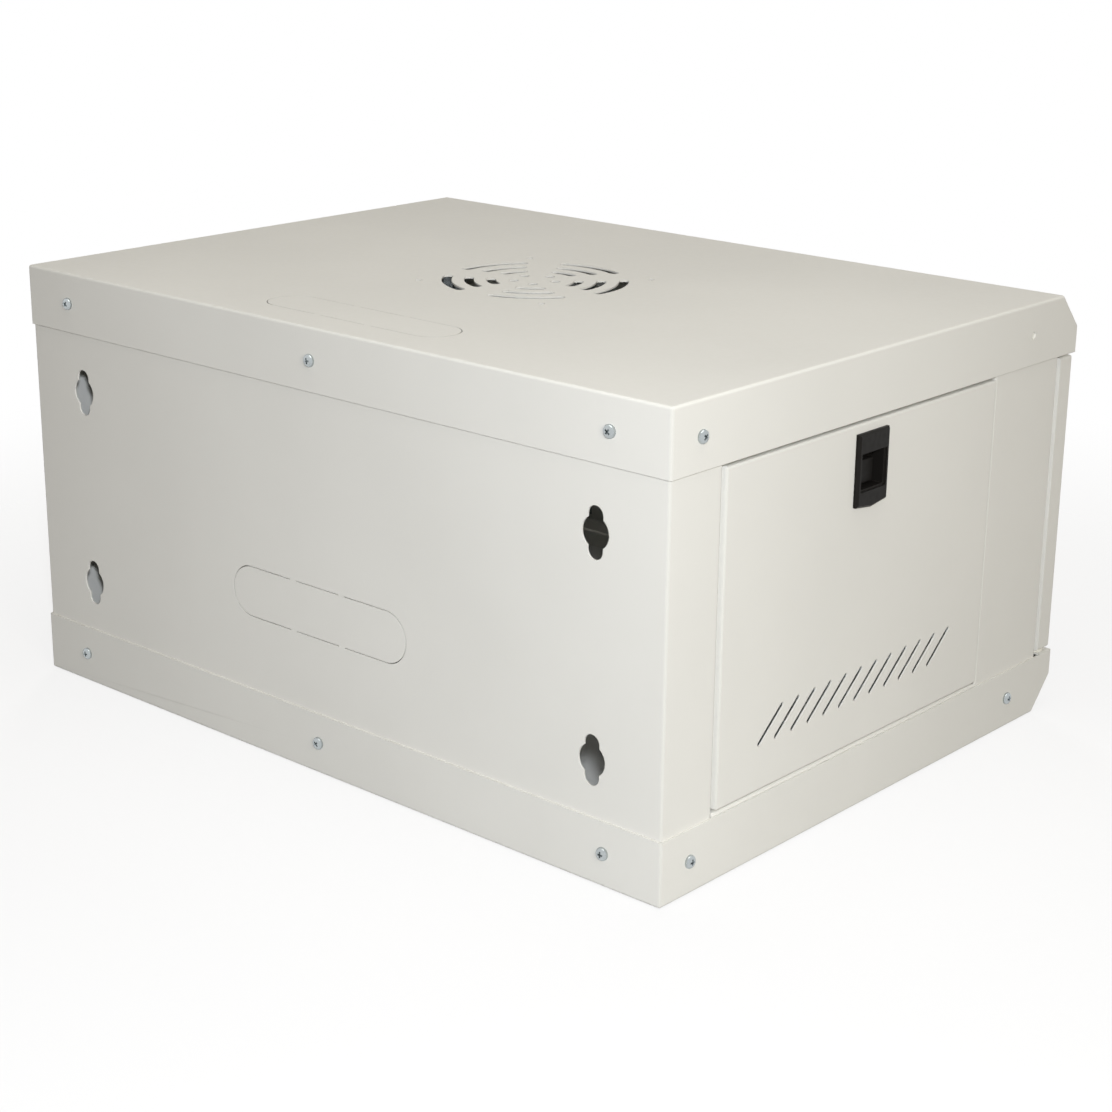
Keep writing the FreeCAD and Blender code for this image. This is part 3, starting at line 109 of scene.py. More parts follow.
POST_HEM = 15.0
BAR_X = lowest("support_bar_right_lower").x
BAR_ZS = [middle(f"support_bar_right_{row}").z for row in ("lower", "upper")]
HEM_SCREW_Y = (lowest("support_bar_right_lower").y + lowest("side_frame_right").y + POST_HEM) / 2
EAR_SCREW_X = (BAR_X + BAR_SHEET + highest("support_bar_right_lower").x) / 2
EAR_SCREW_Y = lowest("rear_panel").y - BAR_SHEET
RAIL_BOLT_Y = middle("rack_rail_right").y

CLIP_STUD_OUT = 6.7
CLIP_END_X = 140.0
CLIP_SIDE_Z = 42.0
CLIP_ROW_ZS = (lowest("door_glass").z - CLIP_STUD_OUT, highest("door_glass").z + CLIP_STUD_OUT)
CLIP_COLUMN_X = highest("door_glass").x + CLIP_STUD_OUT
DOOR_INNER = lowest("door_gasket").y

SPRING_LENGTH = 11.8
SPRING_R = 4.2
SPRING_WIRE = 0.8
hinge = Place(*in_mm(named(frame["joints"], "door_swing")["pos_m"]))
SPRING_SEAT = (hinge.x, hinge.y, highest("pin_bracket").z)

earth_stud = Place(*in_mm(named(frame["record"]["mounts"], "earth_stud")["pos_m"]))
EARTH_SEAT = (earth_stud.x, earth_stud.y, SHEET)


# ---- node helpers ------------------------------------------------------------------------
NOISE_SPAN = (0.3, 0.7)
EDGE_LEAN = (0.80, 0.98)
CORNER_SPAN = (0.05, 0.40)
FULL_SPAN = (0.0, 1.0)


def linear(red, green, blue):
    """A colour given as 0 to 255 screen values, as the shader wants it."""
    values = []
    for value in (red, green, blue):
        share = value / 255
        values.append(share / 12.92 if share <= 0.04045 else ((share + 0.055) / 1.055) ** 2.4)
    return (*values, 1.0)


class Nodes:
    """A node tree and short calls that add nodes to it."""

    def __init__(self, tree):
        self.tree = tree

    def add(self, kind, **settings):
        """New node with its own settings."""
        node = self.tree.nodes.new(kind)
        for name, value in settings.items():
            setattr(node, name, value)
        return node

    def link(self, output, socket):
        """Wires one node's output to another's input."""
        self.tree.links.new(output, socket)

    def calculate(self, operation, *values):
        """Result of a sum on one or two values."""
        node = self.add("ShaderNodeMath", operation=operation)
        for value, socket in zip(values, node.inputs):
            self.link(value, socket)
        return node.outputs["Value"]

    def mix_shaders(self, factor, first, second):
        """Mix of two shaders; the factor is a number or another node's output."""
        node = self.add("ShaderNodeMixShader")
        if isinstance(factor, float):
            node.inputs["Fac"].default_value = factor
        else:
            self.link(factor, node.inputs["Fac"])
        self.link(first, node.inputs[1])
        self.link(second, node.inputs[2])
        return node.outputs["Shader"]

    def seen_white(self, shader, white):
        """White for the eye, for mirrors and through glass; the other shader for everything else."""
        path = self.add("ShaderNodeLightPath")
        seen = path.outputs["Is Camera Ray"]
        for name in ("Is Glossy Ray", "Is Transmission Ray"):
            seen = self.calculate("MAXIMUM", seen, path.outputs[name])
        return self.mix_shaders(seen, shader, white)


class Finish(Nodes):
    """One procedural material."""

    def __init__(self, name):
        self.material = bpy.data.materials.new(name)
        self.material.use_nodes = True
        super().__init__(self.material.node_tree)
        self.shader = self.tree.nodes["Principled BSDF"]
        self.place = self.add("ShaderNodeTexCoord").outputs["Object"]

    def set(self, **values):
        """Constants on the shader's own inputs."""
        for name, value in values.items():
            self.shader.inputs[name.replace("_", " ")].default_value = value

    def drive(self, name, output):
        """Lets another node's output drive one of the shader's inputs."""
        self.link(output, self.shader.inputs[name])

    def surface(self, shader):
        """Gives the material another shader than its own."""
        self.link(shader, self.tree.nodes["Material Output"].inputs["Surface"])

    def noise(self, scale, detail=2.0, roughness=0.5, stretch=None):
        """Noise on the object's own place; scale is in cycles a metre."""
        node = self.add("ShaderNodeTexNoise")
        node.inputs["Scale"].default_value = scale
        node.inputs["Detail"].default_value = detail
        node.inputs["Roughness"].default_value = roughness
        place = self.place
        if stretch:
            mapping = self.add("ShaderNodeMapping")
            mapping.inputs["Scale"].default_value = stretch
            self.link(place, mapping.inputs["Vector"])
            place = mapping.outputs["Vector"]
        self.link(place, node.inputs["Vector"])
        return node.outputs["Fac"]

    def spread(self, value, old, new=FULL_SPAN, interpolation="LINEAR"):
        """A value taken from its old range to a new one."""
        node = self.add("ShaderNodeMapRange", interpolation_type=interpolation)
        for name, limit in zip(("From Min", "From Max", "To Min", "To Max"), (*old, *new)):
            node.inputs[name].default_value = limit
        self.link(value, node.inputs["Value"])
        return node.outputs["Result"]

    def mix(self, factor, first, second):
        """Mixed colour of two colours, either of which may be another node's output."""
        node = self.add("ShaderNodeMix", data_type="RGBA")
        self.link(factor, node.inputs["Factor"])
        for name, colour in (("A", first), ("B", second)):
            socket = [s for s in node.inputs if s.name == name and s.type == "RGBA"][0]
            if isinstance(colour, tuple):
                socket.default_value = colour
            else:
                self.link(colour, socket)
        return [s for s in node.outputs if s.type == "RGBA"][0]

    def roughen(self, noise, low, high, span=NOISE_SPAN):
        """Roughness that follows a noise between two values."""
        self.drive("Roughness", self.spread(noise, span, (low, high)))

    def bump(self, height, distance, strength, normal=None):
        """Normal of a relief, on top of another normal."""
        node = self.add("ShaderNodeBump")
        node.inputs["Distance"].default_value = distance
        node.inputs["Strength"].default_value = strength
        self.link(height, node.inputs["Height"])
        if normal is not None:
            self.link(normal, node.inputs["Normal"])
        return node.outputs["Normal"]

    def soft_edges(self, radius):
        """A normal that rounds the sharp edges within a radius."""
        node = self.add("ShaderNodeBevel", samples=4)
        node.inputs["Radius"].default_value = radius
        return node.outputs["Normal"]

    def edge_mask(self, softened):
        """1 along sharp edges and 0 on the flats, from how far the softened normal leans."""
        geometry = self.add("ShaderNodeNewGeometry")
        dot = self.add("ShaderNodeVectorMath", operation="DOT_PRODUCT")
        self.link(softened, dot.inputs[0])
        self.link(geometry.outputs["Normal"], dot.inputs[1])
        return self.spread(dot.outputs["Value"], EDGE_LEAN, (1.0, 0.0))

    def corner_shade_mask(self):
        """1 on the round of an upright corner and 0 on the walls, from the piece's own normal; it marks where
        painted shade goes.
        """
        parts = self.add("ShaderNodeSeparateXYZ")
        self.link(self.add("ShaderNodeTexCoord").outputs["Normal"], parts.inputs[0])
        across = self.calculate("MULTIPLY", parts.outputs["X"], parts.outputs["Y"])
        return self.spread(self.calculate("ABSOLUTE", across), CORNER_SPAN)


# ---- finishes ----------------------------------------------------------------------------
PAINT = linear(228, 227, 221)
# painted shade: darker paint for the folds, which damps their highlights
PAINT_FOLD_SHADE = linear(212, 211, 205)
# painted shade: darker paint for the rounds of upright corners, which damps their highlights
PAINT_CORNER_SHADE = linear(209, 208, 202)
PAINT_SHADE = linear(223, 222, 216)
ZINC = (0.52, 0.56, 0.57, 1.0)
ZINC_DULL = (0.42, 0.455, 0.465, 1.0)
BLACK = (0.0095, 0.0085, 0.0075, 1.0)
# painted sheen: lighter black for the edges
BLACK_EDGE_SHEEN = (0.034, 0.032, 0.029, 1.0)
GLASS_TINT = (0.27, 0.275, 0.28, 1.0)
RUBBER = (0.010, 0.010, 0.010, 1.0)
RUBBER_PALE = (0.032, 0.032, 0.033, 1.0)
NYLON = (0.70, 0.68, 0.60, 1.0)
NYLON_PALE = (0.80, 0.79, 0.73, 1.0)
CHROME = (0.74, 0.75, 0.77, 1.0)
CHROME_PALE = (0.84, 0.85, 0.87, 1.0)
FOLD_RADIUS = 0.7 * MM
EDGE_RADIUS = 0.3 * MM


def powder_coat():
    """Light grey epoxy powder: satin and finely pebbled, with painted shade on the folds and on the rounds of
    upright corners that damps their highlights.
    """
    finish = Finish("powder_coat")
    softened = finish.soft_edges(FOLD_RADIUS)
    tone = finish.spread(finish.noise(scale=5.0, detail=3.0), (0.35, 0.65))
    # painted shade on the folds, along the edge mask
    fold_shade = finish.spread(finish.edge_mask(softened), FULL_SPAN, (0.0, 0.7))
    colour = finish.mix(tone, PAINT_SHADE, PAINT)
    colour = finish.mix(fold_shade, colour, PAINT_FOLD_SHADE)
    # painted shade on the rounds of upright corners
    colour = finish.mix(finish.corner_shade_mask(), colour, PAINT_CORNER_SHADE)
    finish.drive("Base Color", colour)
    finish.roughen(finish.noise(scale=240.0, detail=3.0), 0.48, 0.60)
    finish.set(Specular_IOR_Level=0.22)
    pebble = finish.bump(finish.noise(scale=520.0), 0.06 * MM, 0.35, softened)
    grain = finish.bump(finish.noise(scale=1900.0, detail=1.0), 0.02 * MM, 0.30, pebble)
    finish.drive("Normal", grain)
    return finish.material


def zinc_plate():
    """Bright zinc: metallic, faintly clouded, with short rolling marks."""
    finish = Finish("zinc_plate")
    softened = finish.soft_edges(EDGE_RADIUS)
    cloud = finish.spread(finish.noise(scale=150.0, detail=3.0, roughness=0.55), (0.25, 0.75))
    finish.drive("Base Color", finish.mix(cloud, ZINC_DULL, ZINC))
    finish.roughen(finish.noise(scale=130.0, detail=3.0), 0.20, 0.34)
    marks = finish.noise(scale=900.0, stretch=(1.0, 1.0, 0.08))
    finish.drive("Normal", finish.bump(marks, 0.02 * MM, 0.25, softened))
    finish.set(Metallic=1.0)
    return finish.material


def moulded_black():
    """Black moulded nylon: fine spark texture, with a painted sheen that lightens the edges."""
    finish = Finish("moulded_black")
    softened = finish.soft_edges(EDGE_RADIUS)
    # painted sheen: lighter black along the edges, where the rounds catch light
    finish.drive("Base Color", finish.mix(finish.edge_mask(softened), BLACK, BLACK_EDGE_SHEEN))
    finish.roughen(finish.noise(scale=300.0, detail=3.0), 0.34, 0.50)
    finish.drive("Normal", finish.bump(finish.noise(scale=2600.0), 0.02 * MM, 0.5, softened))
    finish.set(Specular_IOR_Level=0.10)
    return finish.material


def smoked_glass():
    """Toughened grey glass; it lets a part of the lamps' light through."""
    finish = Finish("smoked_tempered_glass")
    finish.set(Transmission_Weight=1.0, IOR=1.5, Base_Color=GLASS_TINT)
    finish.roughen(finish.noise(scale=25.0, detail=4.0), 0.0, 0.012, span=(0.4, 0.8))
    clear = finish.add("ShaderNodeBsdfTransparent")
    clear.inputs["Color"].default_value = GLASS_TINT
    shadow_ray = finish.add("ShaderNodeLightPath").outputs["Is Shadow Ray"]
    finish.surface(finish.mix_shaders(shadow_ray, finish.shader.outputs["BSDF"], clear.outputs["BSDF"]))
    return finish.material


def sponge_rubber():
    """Dull black sealing strip with fine pores."""
    finish = Finish("sponge_rubber")
    pores = finish.noise(scale=1500.0, detail=3.0)
    finish.drive("Base Color", finish.mix(pores, RUBBER, RUBBER_PALE))
    finish.roughen(finish.noise(scale=200.0), 0.78, 0.92)
    finish.drive("Normal", finish.bump(pores, 0.06 * MM, 0.6))
    return finish.material


def natural_nylon():
    """Undyed nylon of the hinge bushes."""
    finish = Finish("natural_nylon")
    softened = finish.soft_edges(EDGE_RADIUS)
    finish.drive("Base Color", finish.mix(finish.noise(scale=180.0), NYLON, NYLON_PALE))
    finish.roughen(finish.noise(scale=420.0), 0.40, 0.55)
    finish.drive("Normal", finish.bump(finish.noise(scale=1200.0), 0.03 * MM, 0.4, softened))
    return finish.material


def bright_chrome():
    """Polished chrome with a trace of wiping marks."""
    finish = Finish("bright_chrome")
    softened = finish.soft_edges(EDGE_RADIUS)
    smear = finish.noise(scale=220.0, detail=4.0, roughness=0.6, stretch=(1.0, 0.3, 1.0))
    finish.drive("Base Color", finish.mix(smear, CHROME, CHROME_PALE))
    finish.roughen(smear, 0.07, 0.20)
    finish.drive("Normal", finish.bump(smear, 0.01 * MM, 0.15, softened))
    finish.set(Metallic=1.0)
    return finish.material


FINISHES = {
    "cabinet_paint": powder_coat(),
    "zinc_steel": zinc_plate(),
    "black_plastic": moulded_black(),
    "smoked_glass": smoked_glass(),
    "seal_rubber": sponge_rubber(),
    "nylon_bush": natural_nylon(),
    "chrome_lock": bright_chrome(),
}


def slot_of_node(name):
    """The slot whose finish a node has; what isn't named here is zinc-plated steel."""
    painted = ("top_cover", "bottom_cover", "rear_panel", "door_frame")
    if name in painted or name.startswith(("side_frame", "side_panel")):
        return "cabinet_paint"
    if name.startswith(("latch_housing", "latch_slider")):
        return "black_plastic"
    if name.endswith("_bush"):
        return "nylon_bush"
    special = {
        "door_glass": "smoked_glass",
        "door_gasket": "seal_rubber",
        "lock_housing": "chrome_lock",
        "lock_barrel": "chrome_lock",
    }
    return special.get(name, "zinc_steel")


for name, node in frame["nodes"].items():
    for material_slot in node.material_slots:
        material_slot.material = FINISHES[slot_of_node(name)]


# ---- shape helpers -----------------------------------------------------------------------
SHARP_ANGLE = math.radians(32)
MERGE_DISTANCE = 0.001 * MM


def turned(profile, segments=24):
    """Body turned about Z from (radius, height) points in millimetres.

    The profile ends on the axis at both ends, or ends where it starts.
    """
    mesh = bmesh.new()
    corners = [mesh.verts.new((radius * MM, 0, height * MM)) for radius, height in profile]
    edges = [mesh.edges.new(pair) for pair in zip(corners, corners[1:])]
    bmesh.ops.spin(
        mesh,
        geom=corners + edges,
        cent=(0, 0, 0),
        axis=Z_AXIS,
        angle=math.tau,
        steps=segments,
        use_merge=True,
        use_duplicate=False,
    )
    bmesh.ops.remove_doubles(mesh, verts=mesh.verts[:], dist=MERGE_DISTANCE)
    bmesh.ops.recalc_face_normals(mesh, faces=mesh.faces[:])
    return mesh


def hex_bar(flats, length):
    """Six-sided bar standing on the XY plane."""
    mesh = bmesh.new()
    corner = flats / math.sqrt(3) * MM
    bmesh.ops.create_cone(
        mesh,
        cap_ends=True,
        cap_tris=False,
        segments=6,
        radius1=corner,
        radius2=corner,
        depth=length * MM,
    )
    bmesh.ops.translate(mesh, verts=mesh.verts[:], vec=(0, 0, length / 2 * MM))
    return mesh


def to_object(mesh, name):
    """Object of a mesh, which is used up."""
    data = bpy.data.meshes.new(name)
    mesh.to_mesh(data)
    mesh.free()
    made = bpy.data.objects.new(name, data)
    bpy.context.scene.collection.objects.link(made)
    return made


def join(whole, part):
    """Adds a part to the whole; the part is used up."""
    data = bpy.data.meshes.new("part")
    part.to_mesh(data)
    part.free()
    whole.from_mesh(data)
    bpy.data.meshes.remove(data)


def carved(mesh, tool, operation="DIFFERENCE"):
    """The mesh after a tool shape is cut from it, or only what both share."""
    body = to_object(mesh, "blank")
    cutter = to_object(tool, "tool")
    modifier = body.modifiers.new("carve", "BOOLEAN")
    modifier.operation = operation
    modifier.solver = "EXACT"
    modifier.object = cutter
    graph = bpy.context.evaluated_depsgraph_get()
    result = bmesh.new()
    result.from_mesh(body.evaluated_get(graph).to_mesh())
    for used in (body, cutter):
        data = used.data
        bpy.data.objects.remove(used)
        bpy.data.meshes.remove(data)
    return result


def facing(axis, turn=0.0):
    """Rotation that takes +Z to an axis, after a turn about Z."""
    return axis.to_track_quat("Z", "Y").to_matrix() @ Matrix.Rotation(turn, 3, "Z")


def finished(name, mesh, body, slot, *nodes):
    """Smooth-shaded piece on its body, with its finish; it stands for the named nodes."""
    piece = to_object(mesh, name)
    piece.data.polygons.foreach_set("use_smooth", [True] * len(piece.data.polygons))
    piece.data.set_sharp_from_angle(angle=SHARP_ANGLE)
    piece.data.materials.append(FINISHES[slot])
    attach(piece, body)
    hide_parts(*nodes)
    return piece


def placed_copies(name, master, places, body, node):
    """One zinc-plated piece of copies of a master, which is used up; it stands for a node.

    Each place is a point in millimetres, the axis that the master's Z takes and a turn about it.
    """
    whole = bmesh.new()
    for point, axis, turn in places:
        copy = master.copy()
        bmesh.ops.transform(copy, matrix=facing(axis, turn).to_4x4(), verts=copy.verts[:])
        bmesh.ops.translate(copy, vec=Vector(point) * MM, verts=copy.verts[:])
        join(whole, copy)
    master.free()
    return finished(name, whole, body, "zinc_steel", node)


# ---- screws, nuts and studs, in millimetres ----------------------------------------------
M4_SCREW = {"shank": 1.95, "head_r": 4.0, "head": 2.6, "reach": 9.0, "pitch": 0.7}
M4_NUT = {"flats": 7.0, "length": 3.2, "bore": 2.0, "pitch": 0.7}
M6_BOLT = {"shank": 3.0, "head_r": 5.5, "head": 3.6, "pitch": 1.0}
M6_NUT = {"flats": 10.0, "length": 5.0, "bore": 3.05, "pitch": 1.0}
EARTH_STUD = {"radius": 3.0, "length": 16.0, "pitch": 1.0}
EARTH_NUT_TURN = 0.4
PAST_NUT = 0.8
PAN_HEAD = ((0, 1), (0.45, 0.97), (0.72, 0.86), (0.90, 0.64), (0.985, 0.36), (1, 0.16), (0.985, 0))
THREAD_DEPTH = 0.6
THREAD_LEAD = 0.3
THREAD_SLACK = 0.15
NECK = 0.4
RECESS_REACH = 0.60
RECESS_DEPTH = 0.72
RECESS_WING = 0.31
RECESS_CORE_SHARE = 0.7
RECESS_TIP_SHARE = 0.45
CHAMFER_SLOPE = 0.62
CHAMFER_IN = 0.1
CHAMFER_OUT = 0.05
GOLDEN_TURN = 2.399963


def thread(radius, pitch, start, end):
    """Profile points of a thread's crests and roots from one height to another."""
    depth = THREAD_DEPTH * pitch
    count = int(abs(end - start) / pitch)
    step = (end - start) / count
    points = []
    for i in range(count):
        points.append((radius - depth, start + step * i))
        points.append((radius, start + step * (i + 0.5)))
    points.append((radius - depth, end))
    return points


def cross_tool(radius, depth, thickness, top):
    """The shape of a cross recess: four wings that narrow towards their foot."""
    mesh = bmesh.new()
    clearance = 1.0
    half = thickness / 2
    core_limit = 1.01 * half * MM
    bmesh.ops.create_cube(mesh, size=1.0)
    core = (thickness * MM, thickness * MM, (depth + clearance) * MM)
    bmesh.ops.scale(mesh, vec=core, verts=mesh.verts[:])
    for face in [f for f in mesh.faces if abs(f.normal.z) < 0.5]:
        way = face.normal.copy()
        wing = bmesh.ops.extrude_discrete_faces(mesh, faces=[face])["faces"][0]
        bmesh.ops.translate(mesh, vec=way * (radius - half) * MM, verts=wing.verts[:])
    for corner in [v for v in mesh.verts if v.co.z < 0]:
        for axis in (0, 1):
            in_core = abs(corner.co[axis]) < core_limit
            corner.co[axis] *= RECESS_CORE_SHARE if in_core else RECESS_TIP_SHARE
    bmesh.ops.translate(mesh, vec=(0, 0, (top + (clearance - depth) / 2) * MM), verts=mesh.verts[:])
    return mesh


def cross_screw(shank, head_r, head, reach, pitch):
    """Pan head screw with a cross recess and a thread; its seat is the XY plane."""
    outline = [(head_r * across, head * up) for across, up in PAN_HEAD]
    outline += [(shank, 0)]
    outline += thread(shank, pitch, -NECK, THREAD_LEAD - reach)
    outline += [(shank * 0.6, -reach), (0, -reach)]
    recess = cross_tool(head_r * RECESS_REACH, head * RECESS_DEPTH, head_r * RECESS_WING, head)
    return carved(turned(outline), recess)


def hex_nut(flats, length, bore, pitch):
    """Nut with chamfered corners and a threaded bore, standing on the XY plane.

    The bar and the bore's tool reach past both faces, so that no cut runs along a face.
    """
    corner = flats / math.sqrt(3)
    slope = (corner - flats / 2) * CHAMFER_SLOPE
    inner = flats / 2 - CHAMFER_IN
    outer = corner + CHAMFER_OUT
    lens = [(0, 0), (inner, 0), (outer, slope), (outer, length - slope), (inner, length), (0, length)]
    bar = hex_bar(flats, length + 2 * THREAD_LEAD)
    bmesh.ops.translate(bar, verts=bar.verts[:], vec=(0, 0, -THREAD_LEAD * MM))
    body = carved(bar, turned(lens, 36), "INTERSECT")
    crests = thread(bore, pitch, THREAD_LEAD, length - THREAD_LEAD)
    grooves = [(radius + THREAD_SLACK, height) for radius, height in crests]
    mouth = 2 * (bore + THREAD_LEAD) - grooves[0][0]
    below = [(0, -THREAD_LEAD), (mouth, -THREAD_LEAD)]
    above = [(mouth, length + THREAD_LEAD), (0, length + THREAD_LEAD)]
    return carved(body, turned(below + grooves + above))


def threaded_stud(radius, length, pitch):
    """Stud standing on the XY plane, with a neck at its foot and a narrowed tip."""
    crests = thread(radius, pitch, NECK, length - 0.5)
    return turned([(0, 0), (radius * 0.8, 0)] + crests + [(radius * 0.7, length), (0, length)], 20)


def flat_washer(bore, rim, thickness, edge):
    """Washer standing on the XY plane, with its upper edge broken."""
    outside = [(rim, 0), (rim, thickness - edge), (rim - edge, thickness)]
    return turned([(bore, 0)] + outside + [(bore, thickness), (bore, 0)], 32)


def turns(places):
    """Adds a different turn about its own axis to each (point, axis)."""
    return [(point, axis, GOLDEN_TURN * i) for i, (point, axis) in enumerate(places)]


def cover_screws():
    """M4 screws that hold the covers: six behind, three on the left side and four on the right."""
    seats = {"rear": [], "left": [], "right": []}
    for z in SCREW_ZS:
        for x in REAR_SCREW_XS:
            seats["rear"].append(((x, BACK, z), Y_AXIS))
        seats["right"].append(((HALF_WIDTH, BACK_SCREW_Y, z), X_AXIS))
        seats["right"].append(((HALF_WIDTH, FRONT_SCREW_Y, z), X_AXIS))
        seats["left"].append(((-HALF_WIDTH, BACK_SCREW_Y, z), -X_AXIS))
    seats["left"].append(((-HALF_WIDTH, FRONT_SCREW_Y, SCREW_INSET), -X_AXIS))
    for side, places in seats.items():
        screw = cross_screw(**M4_SCREW)
        placed_copies(f"{side}_cover_screw_set", screw, turns(places), "cabinet", f"cover_screws_{side}")


def weld_nut_set():
    """Nuts behind the panel and the side frames that take the cover screws."""
    places = []
    for z in SCREW_ZS:
        for x in REAR_SCREW_XS:
            places.append(((x, BACK - 2 * SHEET, z), -Y_AXIS))
        for side in SIDES:
            places.append(((side * (HALF_WIDTH - 3 * SHEET), BACK_SCREW_Y, z), -side * X_AXIS))
            if side > 0 or z < MID_Z:
                places.append(((side * (HALF_WIDTH - 2 * SHEET), FRONT_SCREW_Y, z), -side * X_AXIS))
    placed_copies("weld_nut_set", hex_nut(**M4_NUT), turns(places), "cabinet", "weld_nuts")


def rail_fasteners():
    """M6 bolts through the rails and bars, and the M4 screws that hold the bars."""
    bolts = []
    nuts = []
    screws = []
    small_nuts = []
    stack = SHEET + BAR_SHEET
    for z in BAR_ZS:
        for side in SIDES:
            way = side * X_AXIS
            bolts.append(((side * (BAR_X - RAIL_SHEET), RAIL_BOLT_Y, z), -way))
            nuts.append(((side * (BAR_X + BAR_SHEET), RAIL_BOLT_Y, z), way))
            screws.append(((side * BAR_X, HEM_SCREW_Y, z), -way))
            small_nuts.append(((side * (BAR_X + stack), HEM_SCREW_Y, z), way))
            screws.append(((side * EAR_SCREW_X, EAR_SCREW_Y, z), -Y_AXIS))
            small_nuts.append(((side * EAR_SCREW_X, EAR_SCREW_Y + stack, z), Y_AXIS))
    bolt = cross_screw(reach=RAIL_SHEET + BAR_SHEET + M6_NUT["length"] + PAST_NUT, **M6_BOLT)
    placed_copies("rail_bolt_set", bolt, turns(bolts), "cabinet", "rail_bolts")
    placed_copies("rail_nut_set", hex_nut(**M6_NUT), turns(nuts), "cabinet", "rail_nuts")
    placed_copies("bar_screw_set", cross_screw(**M4_SCREW), turns(screws), "cabinet", "bar_screws")
    placed_copies("bar_nut_set", hex_nut(**M4_NUT), turns(small_nuts), "cabinet", "bar_nuts")


def earth_terminal():
    """Earthing stud on the base, with a washer and a nut."""
    stud = threaded_stud(**EARTH_STUD)
    placed_copies("earth_stud_threaded", stud, [(EARTH_SEAT, Z_AXIS, 0)], "cabinet", "earth_stud")
    thickness = 1.6
    pair = flat_washer(bore=3.2, rim=6.5, thickness=thickness, edge=0.1)
    nut = hex_nut(**M6_NUT)
    bmesh.ops.translate(nut, vec=(0, 0, thickness * MM), verts=nut.verts[:])
    join(pair, nut)
    seat = (EARTH_SEAT, Z_AXIS, EARTH_NUT_TURN)
    placed_copies("earth_nut_and_washer", pair, [seat], "cabinet", "earth_nut")


def glass_clip_fasteners():
    """Studs on the door and the nuts that hold the glass clips."""
    places = []
    for x in (-CLIP_END_X, 0.0, CLIP_END_X):
        for z in CLIP_ROW_ZS:
            places.append((x, z))
    for side in SIDES:
        for z in (MID_Z - CLIP_SIDE_Z, MID_Z + CLIP_SIDE_Z):
            places.append((side * CLIP_COLUMN_X, z))
    studs = [((x, DOOR_INNER, z), Y_AXIS) for x, z in places]
    nuts = [((x, DOOR_INNER + CLIP_SHEET, z), Y_AXIS) for x, z in places]
    length = CLIP_SHEET + M4_NUT["length"] + PAST_NUT
    stud = threaded_stud(M4_SCREW["shank"], length, M4_SCREW["pitch"])
    placed_copies("clip_stud_set", stud, turns(studs), "door", "glass_clip_studs")
    placed_copies("clip_nut_set", hex_nut(**M4_NUT), turns(nuts), "door", "glass_clip_nuts")


# ---- sprung hinge pin --------------------------------------------------------------------
def hinge_spring():
    """Round-wire spring with a closed coil at each end, drawn at rest on a mesh of its own; the real spring
    shortens as the pin is pulled.
    """
    mesh = bmesh.new()
    wire = SPRING_WIRE / 2
    bmesh.ops.create_circle(mesh, cap_ends=True, segments=10, radius=wire * MM)
    upright = Matrix.Rotation(math.pi / 2, 3, "X")
    bmesh.ops.rotate(mesh, verts=mesh.verts[:], cent=(0, 0, 0), matrix=upright)
    bmesh.ops.translate(mesh, vec=(SPRING_R * MM, 0, wire * MM), verts=mesh.verts[:])
    closed_rise = SPRING_WIRE
    steps_a_turn = 28
    open_turns = 4
    open_rise = SPRING_LENGTH - SPRING_WIRE - 2 * closed_rise
    end = mesh.faces[:]
    for coils, rise in ((1, closed_rise), (open_turns, open_rise), (1, closed_rise)):
        steps = coils * steps_a_turn
        swept = bmesh.ops.spin(
            mesh,
            geom=end,
            cent=(0, 0, 0),
            axis=Z_AXIS,
            angle=math.tau * coils,
            steps=steps,
            dvec=(0, 0, rise * MM / steps),
            use_merge=False,
            use_duplicate=False,
        )
        end = [g for g in swept["geom_last"] if isinstance(g, bmesh.types.BMFace)]
    bmesh.ops.recalc_face_normals(mesh, faces=mesh.faces[:])
    spring = placed_copies("hinge_pin_spring", mesh, [(SPRING_SEAT, Z_AXIS, 0)], "door", "pin_spring")
    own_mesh(spring)


cover_screws()
weld_nut_set()
rail_fasteners()
earth_terminal()
glass_clip_fasteners()
hinge_spring()


# ---- studio, in metres -------------------------------------------------------------------
CAMERA_PLACE = Vector((-0.9607, 1.0732, 0.5629))
CAMERA_BACK = Vector((-0.6298, 0.7119, 0.3107)).normalized()
CAMERA_ROLL = math.radians(0.6)
CAMERA_LENS = 73.5
CAMERA_SENSOR = 36.0
MIDDLE = (0, 0, 0.14)
ROOM_COLOUR = (1.0, 0.87, 0.73, 1.0)
ROOM_STRENGTH = 0.175
WHITE = (1.0, 1.0, 1.0, 1.0)
FLOOR_SIZE = 9.0
FLOOR_DROP = 0.0004
FLOOR_FADE = (0.35, 0.95)
FLOOR_LIT = (0.38, 0.375, 0.37, 1.0)
FLOOR_SEEN = (0.90, 0.90, 0.90, 1.0)
FLOOR_GLOW = 0.75


def camera():
    """The view from behind on the left, a little above the cabinet."""
    data = bpy.data.cameras.new("view")
    data.lens = CAMERA_LENS
    data.sensor_width = CAMERA_SENSOR
    made = bpy.data.objects.new("view", data)
    bpy.context.scene.collection.objects.link(made)
    right = Z_AXIS.cross(CAMERA_BACK).normalized()
    up = CAMERA_BACK.cross(right)
    rolled_right = right * math.cos(CAMERA_ROLL) + up * math.sin(CAMERA_ROLL)
    rolled_up = up * math.cos(CAMERA_ROLL) - right * math.sin(CAMERA_ROLL)
    turn = Matrix((rolled_right, rolled_up, CAMERA_BACK)).transposed()
    made.matrix_world = Matrix.Translation(CAMERA_PLACE) @ turn.to_4x4()
    bpy.context.scene.camera = made


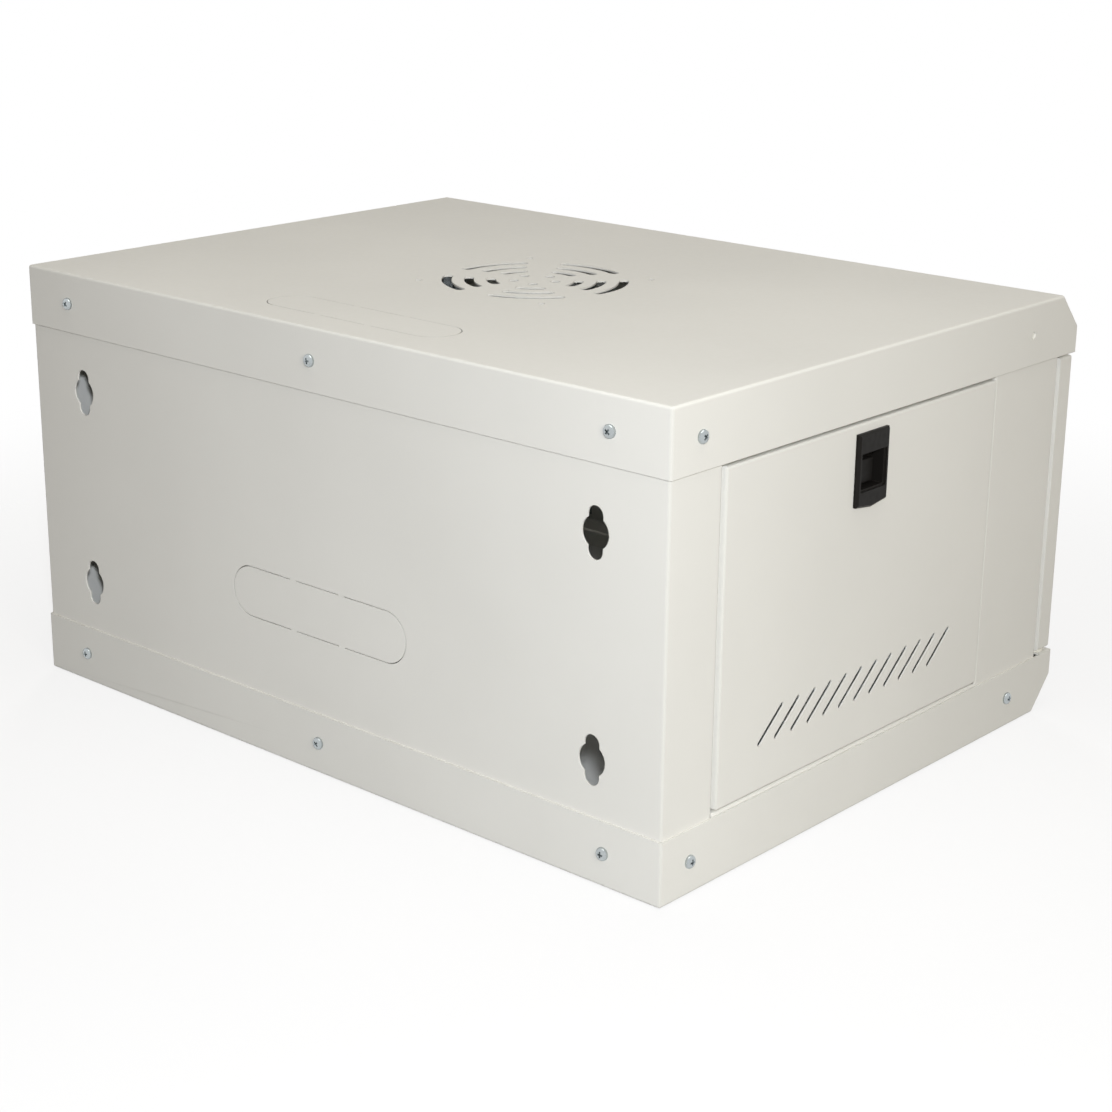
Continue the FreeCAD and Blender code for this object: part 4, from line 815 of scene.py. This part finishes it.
def lamp(name, place, target, power, size, colour, mirrored=True):
    """Round soft lamp; one that isn't mirrored lights surfaces but leaves no glare on them."""
    data = bpy.data.lights.new(name, "AREA")
    data.shape = "DISK"
    data.size = size
    data.energy = power
    data.color = colour
    made = bpy.data.objects.new(name, data)
    made.visible_glossy = mirrored
    bpy.context.scene.collection.objects.link(made)
    away = Vector(place) - Vector(target)
    made.matrix_world = Matrix.Translation(place) @ facing(away).to_4x4()


def lamps():
    """A flash by the camera, a warm lamp to its right, one overhead and one in front of the door."""
    lamp(
        "flash_lamp",
        place=(-0.975, 1.06, 0.66),
        target=MIDDLE,
        power=13.4,
        size=0.07,
        colour=(0.95, 1.0, 1.08),
        mirrored=False,
    )
    lamp(
        "side_lamp",
        place=(-1.75, 1.0, 0.75),
        target=MIDDLE,
        power=11.3,
        size=0.7,
        colour=(1.0, 0.94, 0.80),
        mirrored=False,
    )
    lamp(
        "overhead_lamp",
        place=(-0.25, 0.15, 1.45),
        target=(0, 0, 0.28),
        power=6.4,
        size=1.2,
        colour=(1.0, 0.99, 0.94),
    )
    lamp(
        "front_lamp",
        place=(1.25, -1.2, 0.3),
        target=MIDDLE,
        power=20.0,
        size=0.6,
        colour=(1.0, 0.99, 0.97),
        mirrored=False,
    )


def room_light():
    """Weak even light from the room; the eye sees plain white."""
    world = bpy.data.worlds.new("room")
    bpy.context.scene.world = world
    world.use_nodes = True
    room = Nodes(world.node_tree)
    dim = room.tree.nodes["Background"]
    white = room.add("ShaderNodeBackground")
    for light, colour, strength in ((dim, ROOM_COLOUR, ROOM_STRENGTH), (white, WHITE, 1.0)):
        light.inputs["Color"].default_value = colour
        light.inputs["Strength"].default_value = strength
    seen = room.seen_white(dim.outputs["Background"], white.outputs["Background"])
    room.link(seen, room.tree.nodes["World Output"].inputs["Surface"])


def floor():
    """Pale floor that fades into the white room away from the cabinet and is clear from below."""
    mesh = bmesh.new()
    bmesh.ops.create_grid(mesh, x_segments=8, y_segments=8, size=FLOOR_SIZE / 2)
    bmesh.ops.translate(mesh, vec=(0, 0, -FLOOR_DROP), verts=mesh.verts[:])
    made = to_object(mesh, "floor")
    finish = Finish("pale_floor")
    finish.set(Base_Color=FLOOR_LIT, Roughness=0.9, Specular_IOR_Level=0.1)
    pale = finish.add("ShaderNodeBsdfDiffuse")
    pale.inputs["Color"].default_value = FLOOR_SEEN
    glow = finish.add("ShaderNodeEmission")
    glow.inputs["Strength"].default_value = 1.0
    bright = finish.mix_shaders(FLOOR_GLOW, pale.outputs["BSDF"], glow.outputs["Emission"])
    shown = finish.seen_white(finish.shader.outputs["BSDF"], bright)
    away = finish.add("ShaderNodeVectorMath", operation="LENGTH")
    finish.link(finish.place, away.inputs[0])
    fade = finish.spread(away.outputs["Value"], FLOOR_FADE, interpolation="SMOOTHSTEP")
    below = finish.add("ShaderNodeNewGeometry").outputs["Backfacing"]
    gone = finish.calculate("MAXIMUM", fade, below)
    clear = finish.add("ShaderNodeBsdfTransparent")
    finish.surface(finish.mix_shaders(gone, shown, clear.outputs["BSDF"]))
    made.data.materials.append(finish.material)


camera()
room_light()
floor()
lamps()

bpy.context.scene.view_settings.view_transform = "Standard"
